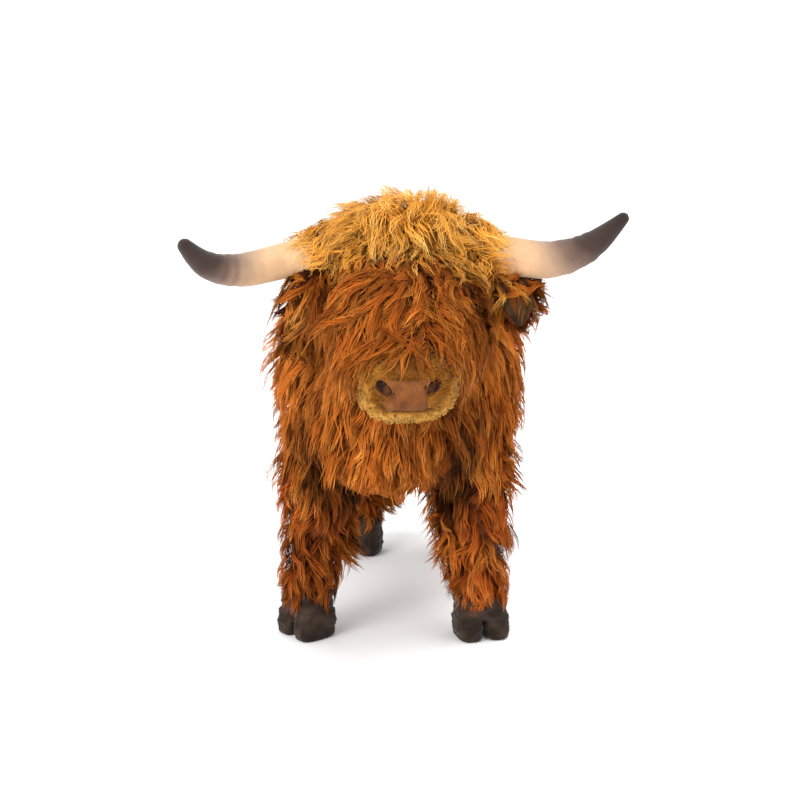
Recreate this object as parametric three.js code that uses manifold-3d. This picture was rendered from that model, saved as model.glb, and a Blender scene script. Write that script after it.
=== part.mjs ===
// A stuffed toy highland cow, standing, in long-pile plush over a firm filling.
// Millimetres. +Z is up, the cow faces -Y, and +X is its left side. Its feet stand on z = 0.
// Furry pieces are drawn out to the tips of the pile, and neighbours keep a thin gap.
// While the pieces are shaped, x = y = 0 lies midway between the front feet.

import * as THREE from "three";
import { LoftGeometry } from "three/addons/geometries/LoftGeometry.js";
import { mergeVertices } from "three/addons/utils/BufferGeometryUtils.js";
import Module from "manifold-3d";

// Clearance between neighbours, and the clearance where one piece is cut by another.
const GAP = 0.3;

// The head turns to the cow's left about the upright line through x = y = 0.
const HEAD_TURN = THREE.MathUtils.degToRad(9);

// Where each foot stands and how many degrees its toes turn out.
const FEET = {
  front_left: { x: 108.5, y: 38, toeOut: 20 },
  front_right: { x: -112.5, y: 25, toeOut: 44 },
  hind_left: { x: 88, y: 387, toeOut: 10 },
  hind_right: { x: -87, y: 387, toeOut: 8 },
};

// The body leans to the cow's left over its feet, by this much at the height of the trunk.
const SWAY = 3;
const TRUNK_MIDDLE = 330;

// One hoof is two stuffed toes side by side under a short cuff, which the pile of the leg overhangs.
const TOE_HALF_WIDTH = 17;
const TOE_SPACING = TOE_HALF_WIDTH + GAP;
const TOE_HEIGHT = 40;
const CUFF_TOP = 60;
const LEG_PILE_END = 52;

// The mouth line, the nose panel and the nostrils, in the head's own frame.
const MOUTH_HEIGHT = 348;
const NOSE_PANEL = { bottomHalf: 20, waistHalf: 17.5, topHalf: 21, bottom: 348.4, waist: 366, top: 385 };
const NOSE_PANEL_DEPTH = 3;
const NOSE_PANEL_RISE = 1.2;
const NOSTRIL = { x: 26, z: 373, long: 10.5, wide: 5.6, lean: 42, depth: 7, lining: 3.5 };

// Eyes sit on the sides of the skull at the bottom of short wells in the pile.
const EYE = { x: 64, y: -148, z: 434, radius: 10.5 };
const EYE_WELL = { length: 46, mouth: 17 };

// The ear's dark lining: how far inside the ear's edge it ends, how far forward it is set, and its depth.
const EAR_LINING = { inset: 5, forward: 9, depth: 3.5 };

const wasm = await Module();
wasm.setup();

// ---------------------------------------------------------------- shaping

// A point of a superellipse of the given half sizes, at an angle.
function superellipse(angle, halfA, halfB, power) {
  const c = Math.cos(angle);
  const s = Math.sin(angle);
  return [
    halfA * Math.sign(c) * Math.abs(c) ** (2 / power),
    halfB * Math.sign(s) * Math.abs(s) ** (2 / power),
  ];
}

// The rows of a loft: how far along each lies, from 0 to 1, how much of the full size it has, and how
// much of a thickening carries it outwards along the loft. An end is rounded over the given share.
function rowsOf(rows, roundStart, roundEnd) {
  const CAP_ROWS = 3;
  const FIRST = THREE.MathUtils.degToRad(20);
  const cap = (share) =>
    Array.from({ length: share > 0 ? CAP_ROWS : 0 }, (_, i) => {
      const turn = FIRST + ((Math.PI / 2 - FIRST) * i) / CAP_ROWS;
      return { at: share * (1 - Math.cos(turn)), size: Math.sin(turn), push: -Math.cos(turn) };
    });
  const list = cap(roundStart);
  for (let i = 0; i <= rows; i++) {
    const flatStart = i === 0 && roundStart === 0 ? -1 : 0;
    const flatEnd = i === rows && roundEnd === 0 ? 1 : 0;
    const at = roundStart + ((1 - roundStart - roundEnd) * i) / rows;
    list.push({ at, size: 1, push: flatStart + flatEnd });
  }
  for (const { at, size, push } of cap(roundEnd).reverse()) {
    list.push({ at: 1 - at, size, push: -push });
  }
  return list;
}

// A smooth curve through points.
const curve = (points) => new THREE.CatmullRomCurve3(points, false, "catmullrom", 0.5);

// A closed body lofted through stations { x, y, z, wide, tall, power }. wide is the half size along
// side, tall the half size across it, and grow thickens the whole body. The sections face the given
// way, or follow the line of their centres. round holds the rounded shares of the two ends.
function loft(stations, { facing, side = [1, 0, 0], columns, rows, round = [0, 0], grow = 0 }) {
  const fixed = facing && new THREE.Vector3(...facing).normalize();
  const centres = curve(stations.map((s) => new THREE.Vector3(s.x ?? 0, s.y ?? 0, s.z)));
  const sizes = curve(stations.map((s) => new THREE.Vector3(s.wide, s.tall, s.power ?? 2)));
  const across = new THREE.Vector3(...side);
  const sections = rowsOf(rows, ...round).map(({ at, size, push }) => {
    const ahead = fixed ?? centres.getTangent(at);
    const centre = centres.getPoint(at).addScaledVector(ahead, grow * push);
    const a = across.clone().addScaledVector(ahead, -across.dot(ahead)).normalize();
    const b = ahead.clone().cross(a);
    const { x: wide, y: tall, z: power } = sizes.getPoint(at);
    return Array.from({ length: columns }, (_, k) => {
      const angle = ((k + 0.5) / columns) * 2 * Math.PI;
      const [u, v] = superellipse(angle, (wide + grow) * size, (tall + grow) * size, power);
      return centre.clone().addScaledVector(a, u).addScaledVector(b, v);
    });
  });
  return new THREE.BufferGeometry().copy(new LoftGeometry(sections, { capStart: true, capEnd: true }));
}

// ---------------------------------------------------------------- joining and cutting

function solidOf(geometry) {
  const bare = geometry.clone();
  bare.deleteAttribute("normal");
  bare.deleteAttribute("uv");
  const merged = mergeVertices(bare, 1e-4);
  return new wasm.Manifold(
    new wasm.Mesh({
      numProp: 3,
      vertProperties: merged.attributes.position.array,
      triVerts: new Uint32Array(merged.index.array),
    }),
  );
}

function geometryOf(solid) {
  const mesh = solid.getMesh();
  const geometry = new THREE.BufferGeometry();
  geometry.setAttribute("position", new THREE.BufferAttribute(mesh.vertProperties, 3));
  geometry.setIndex(new THREE.BufferAttribute(mesh.triVerts, 1));
  geometry.computeVertexNormals();
  return geometry;
}

// The largest body of a solid, so that a cut leaves no crumbs.
function largest(solid) {
  return solid.decompose().reduce((a, b) => (a.volume() > b.volume() ? a : b));
}

// A geometry less each of the others.
function cut(geometry, ...others) {
  const left = others.reduce((rest, other) => rest.subtract(solidOf(other)), solidOf(geometry));
  return geometryOf(largest(left));
}

// What two geometries have in common.
const shared = (a, b) => geometryOf(solidOf(a).intersect(solidOf(b)));

// Everything on one side of a plane through a point, as a large slab in front of it.
function halfSpace(point, towards) {
  const REACH = 2000;
  const slab = new THREE.BoxGeometry(REACH, REACH, REACH).translate(0, 0, REACH / 2);
  const turn = new THREE.Quaternion().setFromUnitVectors(
    new THREE.Vector3(0, 0, 1),
    new THREE.Vector3(...towards).normalize(),
  );
  return slab.applyQuaternion(turn).translate(...point);
}

// A geometry of the body's frame, seen from the head's frame.
const inHead = (geometry) => geometry.clone().rotateZ(-HEAD_TURN);

// ---------------------------------------------------------------- materials

const cloth = (color) => new THREE.MeshStandardMaterial({ color, roughness: 0.9, metalness: 0 });

const MATERIALS = {
  rustPile: cloth(0x9c5726),
  goldenPile: cloth(0xc8883a),
  muzzleVelour: cloth(0xa8752f),
  noseSuede: cloth(0x97603a),
  nostrilFelt: cloth(0x3a2216),
  earLining: cloth(0x43352a),
  hornVelour: cloth(0xc0a07c),
  hoofSuede: cloth(0x473a30),
  eyeGlass: new THREE.MeshStandardMaterial({ color: 0x120a06, roughness: 0.1, metalness: 0 }),
};

function piece(name, geometry, material) {
  const mesh = new THREE.Mesh(geometry, material);
  mesh.name = name;
  return mesh;
}

// ---------------------------------------------------------------- trunk, neck, legs and tail

const trunkShape = (grow = 0) =>
  loft(
    [
      { y: -142, z: 296, wide: 58, tall: 60, power: 2.1 },
      { y: -92, z: 305, wide: 96, tall: 91, power: 2.3 },
      { y: -38, z: 330, wide: 134, tall: 127, power: 2.7 },
      { y: 25, z: 341, wide: 156, tall: 149, power: 3.1 },
      { y: 110, z: 338, wide: 157, tall: 147, power: 2.9 },
      { y: 220, z: 335, wide: 152, tall: 141, power: 2.6 },
      { y: 320, z: 338, wide: 149, tall: 137, power: 2.6 },
      { y: 405, z: 341, wide: 136, tall: 127, power: 2.5 },
      { y: 466, z: 345, wide: 108, tall: 102, power: 2.4 },
    ].map((s) => ({ ...s, x: SWAY })),
    { facing: [0, 1, 0], columns: 22, rows: 8, round: [0.09, 0.13], grow },
  );

const neckShape = (grow = 0) =>
  loft(
    [
      { x: 4, y: 70, z: 372, wide: 128, tall: 104, power: 2.4 },
      { x: 6, y: 10, z: 392, wide: 128, tall: 112, power: 2.4 },
      { x: 12, y: -45, z: 414, wide: 116, tall: 108, power: 2.3 },
      { x: 18, y: -105, z: 424, wide: 98, tall: 96, power: 2.2 },
    ],
    { facing: [0, -1, 0.3], columns: 18, rows: 4, round: [0.1, 0.1], grow },
  );

// Legs are lofted upwards from the end of their pile. x is half the distance between a pair, and each
// leg's lower end bends over to where its foot stands. Front legs run straight down from the shoulder,
// and hind legs have a broad thigh over the hock.
const LEG_STATIONS = {
  front: [
    { x: 112, y: 34, z: LEG_PILE_END, wide: 35.5, tall: 36 },
    { x: 106, y: 34, z: 80, wide: 41, tall: 44 },
    { x: 101, y: 34, z: 122, wide: 48, tall: 51 },
    { x: 96, y: 33, z: 180, wide: 54, tall: 60 },
    { x: 92, y: 30, z: 245, wide: 60, tall: 70 },
    { x: 90, y: 26, z: 300, wide: 58, tall: 72 },
  ],
  hind: [
    { x: 86, y: 389, z: LEG_PILE_END, wide: 35.5, tall: 36 },
    { x: 84, y: 393, z: 85, wide: 43, tall: 43 },
    { x: 85, y: 398, z: 130, wide: 49, tall: 52 },
    { x: 90, y: 390, z: 180, wide: 54, tall: 67 },
    { x: 92, y: 374, z: 240, wide: 58, tall: 85 },
    { x: 90, y: 364, z: 300, wide: 57, tall: 91 },
  ],
};

function legShape(name) {
  const { x, y } = FEET[name];
  const side = Math.sign(x);
  const stations = LEG_STATIONS[name.split("_")[0]];
  const end = stations[0];
  const top = stations.at(-1).z;
  return loft(
    stations.map((s) => {
      const bend = (top - s.z) / (top - end.z);
      return {
        ...s,
        x: side * s.x + bend * (x - side * end.x) + (SWAY * s.z) / TRUNK_MIDDLE,
        y: s.y + bend * (y - end.y),
      };
    }),
    { facing: [0, 0, 1], columns: 14, rows: 5, round: [0, 0.12] },
  );
}

const tailShape = () =>
  loft(
    [
      { x: 5, y: 445, z: 428, wide: 22, tall: 22 },
      { x: 5, y: 478, z: 418, wide: 20, tall: 20 },
      { x: 5, y: 494, z: 375, wide: 18, tall: 17 },
      { x: 5, y: 498, z: 310, wide: 17, tall: 16 },
      { x: 4, y: 496, z: 240, wide: 19, tall: 18 },
    ],
    { columns: 10, rows: 7 },
  );

// The brush of longer hair that the tail ends in.
const switchShape = () =>
  loft(
    [
      { x: 4, y: 496, z: 240 - GAP, wide: 19, tall: 18 },
      { x: 4, y: 495, z: 190, wide: 29, tall: 26 },
      { x: 3, y: 492, z: 135, wide: 30, tall: 26 },
      { x: 2, y: 488, z: 84, wide: 20, tall: 17 },
    ],
    { columns: 10, rows: 4, round: [0, 0.25] },
  );

// ---------------------------------------------------------------- feet

function toeShape() {
  return loft(
    [
      { y: -1, z: 0, wide: TOE_HALF_WIDTH - 3.5, tall: 24 },
      { y: -1, z: 3.5, wide: TOE_HALF_WIDTH - 0.8, tall: 27.2 },
      { y: -1, z: 13, wide: TOE_HALF_WIDTH, tall: 28.6 },
      { y: 0, z: 24, wide: TOE_HALF_WIDTH, tall: 28 },
      { y: 1, z: 34, wide: TOE_HALF_WIDTH - 0.8, tall: 26.4 },
      { y: 3, z: TOE_HEIGHT, wide: TOE_HALF_WIDTH - 4.5, tall: 20.5 },
    ].map((s) => ({ ...s, power: 3 })),
    { facing: [0, 0, 1], columns: 12, rows: 5 },
  );
}

const cuffShape = (grow = 0) =>
  loft(
    [
      { y: 3, z: 26, wide: 29.5, tall: 24 },
      { y: 2, z: 38, wide: 32.4, tall: 27 },
      { y: 1, z: 48, wide: 33, tall: 28 },
      { y: 1, z: CUFF_TOP, wide: 31.8, tall: 27.5 },
    ].map((s) => ({ ...s, power: 2.8 })),
    { facing: [0, 0, 1], columns: 12, rows: 2, grow },
  );

// A shape turned and moved to where the named foot stands.
function atFoot(name, geometry) {
  const { x, y, toeOut } = FEET[name];
  const turn = Math.sign(x) * THREE.MathUtils.degToRad(toeOut);
  return geometry.rotateZ(turn).translate(x, y, 0);
}

// One foot: its inner and outer toes, and the cuff that is stitched over them.
function foot(name) {
  const outwards = Math.sign(FEET[name].x);
  const places = { inner: -outwards * TOE_SPACING, outer: outwards * TOE_SPACING };
  const GROWN = 1 + (2 * GAP) / TOE_HEIGHT;
  const grownToes = Object.values(places).map((x) =>
    toeShape().scale(GROWN, GROWN, GROWN).translate(x, 0, 0),
  );
  const cuff = atFoot(name, cut(cuffShape(), ...grownToes));
  return [
    ...Object.entries(places).map(([which, x]) =>
      piece(`toe_${name}_${which}`, atFoot(name, toeShape().translate(x, 0, 0)), MATERIALS.hoofSuede),
    ),
    piece(`cuff_${name}`, cuff, MATERIALS.hoofSuede),
  ];
}

// ---------------------------------------------------------------- head, in its own frame

const headShape = (grow = 0) =>
  loft(
    [
      { x: 4, y: -48, z: 432, wide: 84, tall: 88, power: 2.2 },
      { x: 7, y: -98, z: 440, wide: 88, tall: 92, power: 2.3 },
      { x: 9, y: -142, z: 422, wide: 94, tall: 80, power: 2.3 },
      { x: 4, y: -182, z: 400, wide: 80, tall: 61, power: 2.2 },
      { x: 0, y: -214, z: 384, wide: 58, tall: 46, power: 2.2 },
    ],
    { facing: [0, -1, -0.3], columns: 20, rows: 5, round: [0.12, 0], grow },
  );

const muzzleShape = (grow = 0) =>
  loft(
    [
      { y: -190, z: 384, wide: 49, tall: 42, power: 2.3 },
      { y: -218, z: 375, wide: 52.5, tall: 41, power: 2.4 },
      { y: -246, z: 368, wide: 51, tall: 37, power: 2.4 },
      { y: -266, z: 366, wide: 47, tall: 33, power: 2.4 },
    ],
    { facing: [0, -1, -0.2], columns: 20, rows: 4, round: [0, 0.42], grow },
  );

// The nose panel seen from the front: narrow between the nostrils, wider above and below.
function noseOutline(grow) {
  const { bottomHalf, waistHalf, topHalf, bottom, waist, top } = NOSE_PANEL;
  const outline = new THREE.Shape();
  outline.moveTo(-bottomHalf - grow, bottom - grow);
  outline.lineTo(bottomHalf + grow, bottom - grow);
  outline.quadraticCurveTo(waistHalf + grow, waist - 6, waistHalf + grow, waist);
  outline.quadraticCurveTo(waistHalf + grow, top - 5, topHalf + grow, top - 2);
  outline.quadraticCurveTo(0, top + 3 + 2 * grow, -topHalf - grow, top - 2);
  outline.quadraticCurveTo(-waistHalf - grow, top - 5, -waistHalf - grow, waist);
  outline.quadraticCurveTo(-waistHalf - grow, waist - 6, -bottomHalf - grow, bottom - grow);
  return outline;
}

// A prism of that outline through the front of the muzzle.
function nosePrism(grow) {
  const LENGTH = 60;
  return new THREE.ExtrudeGeometry(noseOutline(grow), {
    depth: LENGTH,
    bevelEnabled: false,
    curveSegments: 3,
  })
    .rotateX(Math.PI / 2)
    .translate(0, -228, 0);
}

// A leaning oval peg on the front of the muzzle, at one nostril.
function nostrilPeg(side, grow) {
  const LENGTH = 40;
  return new THREE.CylinderGeometry(1, 1, LENGTH, 10)
    .scale(NOSTRIL.wide + grow, 1, NOSTRIL.long + grow)
    .rotateY(side * THREE.MathUtils.degToRad(NOSTRIL.lean))
    .translate(side * NOSTRIL.x, -262, NOSTRIL.z);
}

// Horns run out, a little forward, and then up to a blunt tip. The left one rises further.
const HORN = {
  left: [
    { x: 58, y: -90, z: 499, r: 20 },
    { x: 122, y: -100, z: 494.5, r: 21.5 },
    { x: 168, y: -110, z: 489, r: 21.2 },
    { x: 212, y: -126, z: 505, r: 16.4 },
    { x: 251, y: -136, z: 542, r: 5.5 },
  ],
  right: [
    { x: -58, y: -90, z: 499, r: 20 },
    { x: -122, y: -100, z: 491.5, r: 20.2 },
    { x: -172, y: -122, z: 481.5, r: 18.8 },
    { x: -210, y: -146, z: 488.5, r: 15.2 },
    { x: -237, y: -160, z: 517, r: 6.6 },
  ],
};

const hornShape = (which, grow = 0) =>
  loft(
    HORN[which].map(({ x, y, z, r }) => ({ x, y, z, wide: r, tall: r })),
    { side: [0, 1, 0], columns: 10, rows: 8, round: [0, 0.05], grow },
  );

// Ears hang out and down from under the horns. wide runs along the ear's breadth, tall through it.
const EAR = {
  left: [
    { x: 84, y: -88, z: 486, wide: 12, tall: 10 },
    { x: 120, y: -95, z: 476, wide: 22, tall: 13 },
    { x: 133, y: -98, z: 446, wide: 25, tall: 12 },
    { x: 139, y: -96, z: 410, wide: 14, tall: 8 },
  ],
  right: [
    { x: -72, y: -90, z: 486, wide: 12, tall: 10 },
    { x: -92, y: -108, z: 470, wide: 20, tall: 13 },
    { x: -99, y: -115, z: 434, wide: 23, tall: 12 },
    { x: -103, y: -110, z: 388, wide: 14, tall: 8 },
  ],
};

// The direction of each ear's breadth.
const EAR_SIDE = { left: [0.93, -0.2, 0.3], right: [0.9, 0.43, 0.1] };

const earShape = (which, grow = 0) =>
  loft(EAR[which], {
    side: EAR_SIDE[which],
    columns: 12,
    rows: 5,
    round: [0, 0.2],
    grow,
  });

// A leaf inside the ear, drawn in by inset and set forward. The dark lining lies over it.
function earLeaf(which, inset, forward) {
  const stations = EAR[which].map((s) => ({
    ...s,
    y: s.y - forward,
    wide: s.wide - inset,
    tall: s.tall * 0.62 - inset * 0.2,
  }));
  return loft(stations, { side: EAR_SIDE[which], columns: 8, rows: 4, round: [0.18, 0.24] });
}

// The room that the lining takes in the ear.
const earHollow = (which) => earLeaf(which, EAR_LINING.inset - GAP, EAR_LINING.forward - GAP);

const topknotShape = () =>
  loft(
    [
      { x: -112, y: -96, z: 492, wide: 27, tall: 27 },
      { x: -62, y: -96, z: 504, wide: 48, tall: 45 },
      { x: 12, y: -100, z: 512, wide: 58, tall: 59 },
      { x: 72, y: -96, z: 504, wide: 47, tall: 44 },
      { x: 116, y: -95, z: 496, wide: 29, tall: 29 },
    ],
    { facing: [1, 0, 0], side: [0, 1, 0], columns: 16, rows: 5, round: [0.1, 0.1] },
  );

function eyeWell(side) {
  return new THREE.CylinderGeometry(EYE_WELL.mouth, EYE.radius + GAP, EYE_WELL.length, 8)
    .rotateZ((-side * Math.PI) / 2)
    .translate(side * (EYE.x + EYE_WELL.length / 2), EYE.y, EYE.z);
}

const eyeBall = (side, grow = 0) =>
  new THREE.SphereGeometry(EYE.radius + grow, 10, 7).translate(side * EYE.x, EYE.y, EYE.z);

// The head ends at a flat face in front of the neck, which leans back towards its top.
const HEAD_BACK = [0, -78, 430];
const aheadOfNeck = () => halfSpace(HEAD_BACK, [0, -1, 0.3]);
const behindHead = () => halfSpace(HEAD_BACK, [0, 1, -0.3]).translate(0, -GAP, 0);

// The mouth is a level cut through the muzzle, and the chin is what lies below it.
const aboveMouth = () => halfSpace([0, -255, MOUTH_HEIGHT - GAP / 2], [0, 0.1, 1]);
const belowMouth = () => halfSpace([0, -255, MOUTH_HEIGHT + GAP / 2], [0, -0.1, -1]);

const SIDES = { left: 1, right: -1 };

function skullPiece(trunk) {
  const eyeCuts = Object.values(SIDES).flatMap((side) => [eyeWell(side), eyeBall(side, GAP)]);
  const skull = cut(headShape(), behindHead(), trunk, muzzleShape(GAP), ...eyeCuts);
  return piece("head", skull, MATERIALS.rustPile);
}

// The muzzle has shallow beds for the nose panel and for the two nostrils.
function muzzlePieces(trunk) {
  const pegs = Object.values(SIDES).map((side) => nostrilPeg(side, GAP));
  const panelBed = cut(nosePrism(GAP), muzzleShape(-NOSE_PANEL_DEPTH - GAP));
  const nostrilBeds = pegs.map((peg) => cut(peg, muzzleShape(-NOSTRIL.depth)));
  const muzzle = cut(muzzleShape(), belowMouth(), panelBed, ...nostrilBeds);
  const chin = cut(muzzleShape(), aboveMouth(), trunk);
  const front = shared(muzzleShape(NOSE_PANEL_RISE), nosePrism(0));
  const panel = cut(front, muzzleShape(-NOSE_PANEL_DEPTH), belowMouth(), ...pegs);
  return [
    piece("muzzle", muzzle, MATERIALS.muzzleVelour),
    piece("chin", chin, MATERIALS.muzzleVelour),
    piece("nose_panel", panel, MATERIALS.noseSuede),
  ];
}

// The dark lining at the bottom of a nostril.
function nostrilPiece(name) {
  const plug = shared(nostrilPeg(SIDES[name], -GAP), muzzleShape(-NOSTRIL.lining));
  return piece(`nostril_${name}`, cut(plug, muzzleShape(GAP - NOSTRIL.depth)), MATERIALS.nostrilFelt);
}

function earPieces(name, grownHorns) {
  const { inset, forward, depth } = EAR_LINING;
  const around = [headShape(GAP), ...grownHorns];
  const ear = cut(earShape(name), ...around, earHollow(name));
  const lining = cut(earLeaf(name, inset, forward), earLeaf(name, inset - 1, forward + depth), ...around);
  return [
    piece(`ear_${name}`, ear, MATERIALS.rustPile),
    piece(`ear_lining_${name}`, lining, MATERIALS.earLining),
  ];
}

function headGroup() {
  const group = new THREE.Group();
  group.rotation.z = HEAD_TURN;
  const trunk = inHead(trunkShape(GAP));
  const neck = inHead(neckShape(GAP));
  const grownHorns = Object.keys(SIDES).map((name) => hornShape(name, GAP));
  const grownEars = Object.keys(SIDES).flatMap((name) => [earShape(name, GAP), earHollow(name)]);
  group.add(skullPiece(trunk), ...muzzlePieces(trunk));
  for (const [name, side] of Object.entries(SIDES)) {
    const horn = cut(hornShape(name), headShape(GAP), neck);
    group.add(
      nostrilPiece(name),
      piece(`eye_${name}`, eyeBall(side), MATERIALS.eyeGlass),
      piece(`horn_${name}`, horn, MATERIALS.hornVelour),
      ...earPieces(name, grownHorns),
    );
  }
  const topknot = cut(topknotShape(), headShape(GAP), neck, trunk, ...grownHorns, ...grownEars);
  group.add(piece("topknot", topknot, MATERIALS.goldenPile));
  return group;
}

// ---------------------------------------------------------------- the whole cow

const cow = new THREE.Group();
const trunk = trunkShape(GAP);
cow.add(headGroup());
cow.add(piece("trunk", trunkShape(), MATERIALS.rustPile));

const neck = cut(neckShape(), trunk, aheadOfNeck().rotateZ(HEAD_TURN));
cow.add(piece("neck", neck, MATERIALS.rustPile));

for (const name of Object.keys(FEET)) {
  const leg = cut(legShape(name), trunk, atFoot(name, cuffShape(GAP)));
  cow.add(piece(`leg_${name}`, leg, MATERIALS.rustPile));
  cow.add(...foot(name));
}

cow.add(piece("tail", cut(tailShape(), trunk), MATERIALS.rustPile));
cow.add(piece("tail_switch", switchShape(), MATERIALS.rustPile));

// The origin is under the middle of the whole cow, on the floor.
const box = new THREE.Box3().setFromObject(cow, true);
const middle = box.getCenter(new THREE.Vector3());
cow.position.set(-middle.x, -middle.y, -box.min.z);

export default cow;
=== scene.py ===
"""The looks of a plush toy highland cow: one stuffed skin under a coat of solid mesh locks,
with velour muzzle and horns, suede nose and hooves, and glass eyes. Lengths are in metres."""

import math

import bpy
import numpy as np
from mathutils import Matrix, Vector
from mathutils.bvhtree import BVHTree


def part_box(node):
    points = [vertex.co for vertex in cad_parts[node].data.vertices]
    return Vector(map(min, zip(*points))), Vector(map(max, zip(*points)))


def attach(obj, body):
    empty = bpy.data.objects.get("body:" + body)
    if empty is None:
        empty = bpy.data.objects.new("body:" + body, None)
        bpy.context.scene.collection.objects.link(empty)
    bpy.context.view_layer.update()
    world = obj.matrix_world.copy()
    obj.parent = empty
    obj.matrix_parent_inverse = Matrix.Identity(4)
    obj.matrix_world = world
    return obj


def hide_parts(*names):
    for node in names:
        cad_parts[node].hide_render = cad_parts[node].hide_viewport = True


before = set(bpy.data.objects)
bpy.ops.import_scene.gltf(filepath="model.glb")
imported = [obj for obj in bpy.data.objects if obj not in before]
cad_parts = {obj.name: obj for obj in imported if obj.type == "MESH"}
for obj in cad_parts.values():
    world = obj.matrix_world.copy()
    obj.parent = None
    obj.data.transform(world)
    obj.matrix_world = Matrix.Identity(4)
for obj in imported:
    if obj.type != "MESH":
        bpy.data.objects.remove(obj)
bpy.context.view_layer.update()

SEED = 4711
HEAD_TURN = math.radians(9)
LEFT_EYE_IN_HEAD = np.array([0.064, -0.148, 0.434])
MM = 0.001

LEGS = ["leg_front_left", "leg_front_right", "leg_hind_left", "leg_hind_right"]
FEET = ["front_left", "front_right", "hind_left", "hind_right"]
SIDES = ["left", "right"]


# ---------------------------------------------------------------- frames and small helpers

def middle_of(node):
    low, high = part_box(node)
    return (np.array(low) + np.array(high)) / 2


TURN = np.array([
    [math.cos(HEAD_TURN), -math.sin(HEAD_TURN), 0],
    [math.sin(HEAD_TURN), math.cos(HEAD_TURN), 0],
    [0, 0, 1],
])
# The point of the floor that the head's turn is about, which is also the body's own origin.
ORIGIN = middle_of("eye_left") - TURN @ LEFT_EYE_IN_HEAD


def to_head(points):
    return (points - ORIGIN) @ TURN


def from_head(points):
    return np.asarray(points) @ TURN.T + ORIGIN


def unit(vectors):
    return vectors / np.maximum(np.linalg.norm(vectors, axis=-1, keepdims=True), 1e-9)


def dot(a, b):
    return (a * b).sum(axis=-1, keepdims=True)


def smoothstep(low, high, value):
    t = np.clip((value - low) / (high - low), 0, 1)
    return t * t * (3 - 2 * t)


def mixed(a, b, share):
    return a + (b - a) * share


class Ripple:
    """Smooth noise of about -1 to 1 over space, a sum of sine waves with seeded directions."""

    def __init__(self, size, seed, waves=9):
        rng = np.random.default_rng(seed)
        self.directions = unit(rng.normal(size=(waves, 3))) * (2 * math.pi / size)
        self.directions *= rng.uniform(0.5, 1.5, (waves, 1))
        self.phases = rng.uniform(0, 2 * math.pi, waves)
        self.gain = 1.4 / math.sqrt(waves)

    def __call__(self, points):
        return np.sin(points @ self.directions.T + self.phases).sum(axis=-1) * self.gain


# ---------------------------------------------------------------- meshes as arrays

def read(items, key, width, kind=float):
    """One attribute of each of a mesh's items, as rows."""
    values = np.empty(len(items) * width, kind)
    items.foreach_get(key, values)
    return values.reshape(-1, width)


def write(items, key, values, kind=np.float32):
    items.foreach_set(key, values.reshape(-1).astype(kind))


def mesh_of(node):
    """The points and triangles of a CAD node."""
    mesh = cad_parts[node].data
    mesh.calc_loop_triangles()
    return read(mesh.vertices, "co", 3), read(mesh.loop_triangles, "vertices", 3, np.int32)


def together(*meshes):
    """Several (points, triangles) as one."""
    starts = np.cumsum([0] + [len(p) for p, _ in meshes[:-1]])
    return np.vstack([p for p, _ in meshes]), np.vstack([f + n for (_, f), n in zip(meshes, starts)])


def cad_mesh(*nodes):
    return together(*[mesh_of(node) for node in nodes])


def halves(quads):
    """Each quad as two triangles."""
    return np.vstack([quads[:, [0, 1, 2]], quads[:, [0, 2, 3]]])


def placed(name, data):
    """A new object in the scene, with the given data."""
    made = bpy.data.objects.new(name, data)
    bpy.context.scene.collection.objects.link(made)
    return made


def add_object(name, points, faces):
    mesh = bpy.data.meshes.new(name)
    mesh.from_pydata([tuple(p) for p in points], [], [tuple(int(i) for i in f) for f in faces])
    mesh.shade_smooth()
    return placed(name, mesh)


def remeshed(points, faces, voxel):
    """One closed mesh of quads round everything that the given faces enclose."""
    scratch = add_object("scratch", points, faces)
    remesh = scratch.modifiers.new("remesh", "REMESH")
    remesh.mode, remesh.voxel_size = "VOXEL", voxel
    graph = bpy.context.evaluated_depsgraph_get()
    mesh = bpy.data.meshes.new_from_object(scratch.evaluated_get(graph))
    bpy.data.objects.remove(scratch)
    return read(mesh.vertices, "co", 3), read(mesh.loops, "vertex_index", 1, np.int32).reshape(-1, 4)


def edges_of(faces):
    corners = faces.shape[1]
    pairs = np.vstack([faces[:, [i, (i + 1) % corners]] for i in range(corners)])
    return np.unique(np.sort(pairs, axis=1), axis=0)


def smoothed(values, pairs, rounds, share=0.5):
    """Averages each vertex's value with its neighbours'."""
    values = values.reshape(len(values), -1).copy()
    count = len(values)
    degree = np.bincount(pairs.ravel(), minlength=count)[:, None]
    for _ in range(rounds):
        total = np.stack([
            np.bincount(pairs[:, 0], values[pairs[:, 1], c], count)
            + np.bincount(pairs[:, 1], values[pairs[:, 0], c], count)
            for c in range(values.shape[1])
        ], axis=1)
        values += share * (total / np.maximum(degree, 1) - values)
    return values


def normals_of(points, faces):
    """Each vertex's normal."""
    across = np.cross(points[faces[:, 2]] - points[faces[:, 0]], points[faces[:, -1]] - points[faces[:, 1]])
    total = np.zeros_like(points)
    for corner in range(faces.shape[1]):
        for c in range(3):
            total[:, c] += np.bincount(faces[:, corner], across[:, c], len(points))
    return unit(total)


def nearest(tree, points):
    """For each point, the nearest surface point, its normal and its face."""
    places, normals = np.empty_like(points), np.empty_like(points)
    faces = np.empty(len(points), np.int64)
    find = tree.find_nearest
    for i, point in enumerate(points.tolist()):
        place, normal, face, _ = find(point)
        places[i], normals[i], faces[i] = place, normal, face
    return places, normals, faces


def tree_of(points, faces):
    return BVHTree.FromPolygons(points.tolist(), faces.tolist())


def distance(tree, points):
    return np.linalg.norm(nearest(tree, points)[0] - points, axis=1)


def finish_piece(made, material, nodes=()):
    """Gives a piece its material and its body, and hides the nodes it stands for."""
    made.data.materials.append(material)
    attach(made, "root")
    if nodes:
        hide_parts(*nodes)
    return made


# ---------------------------------------------------------------- materials

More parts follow.
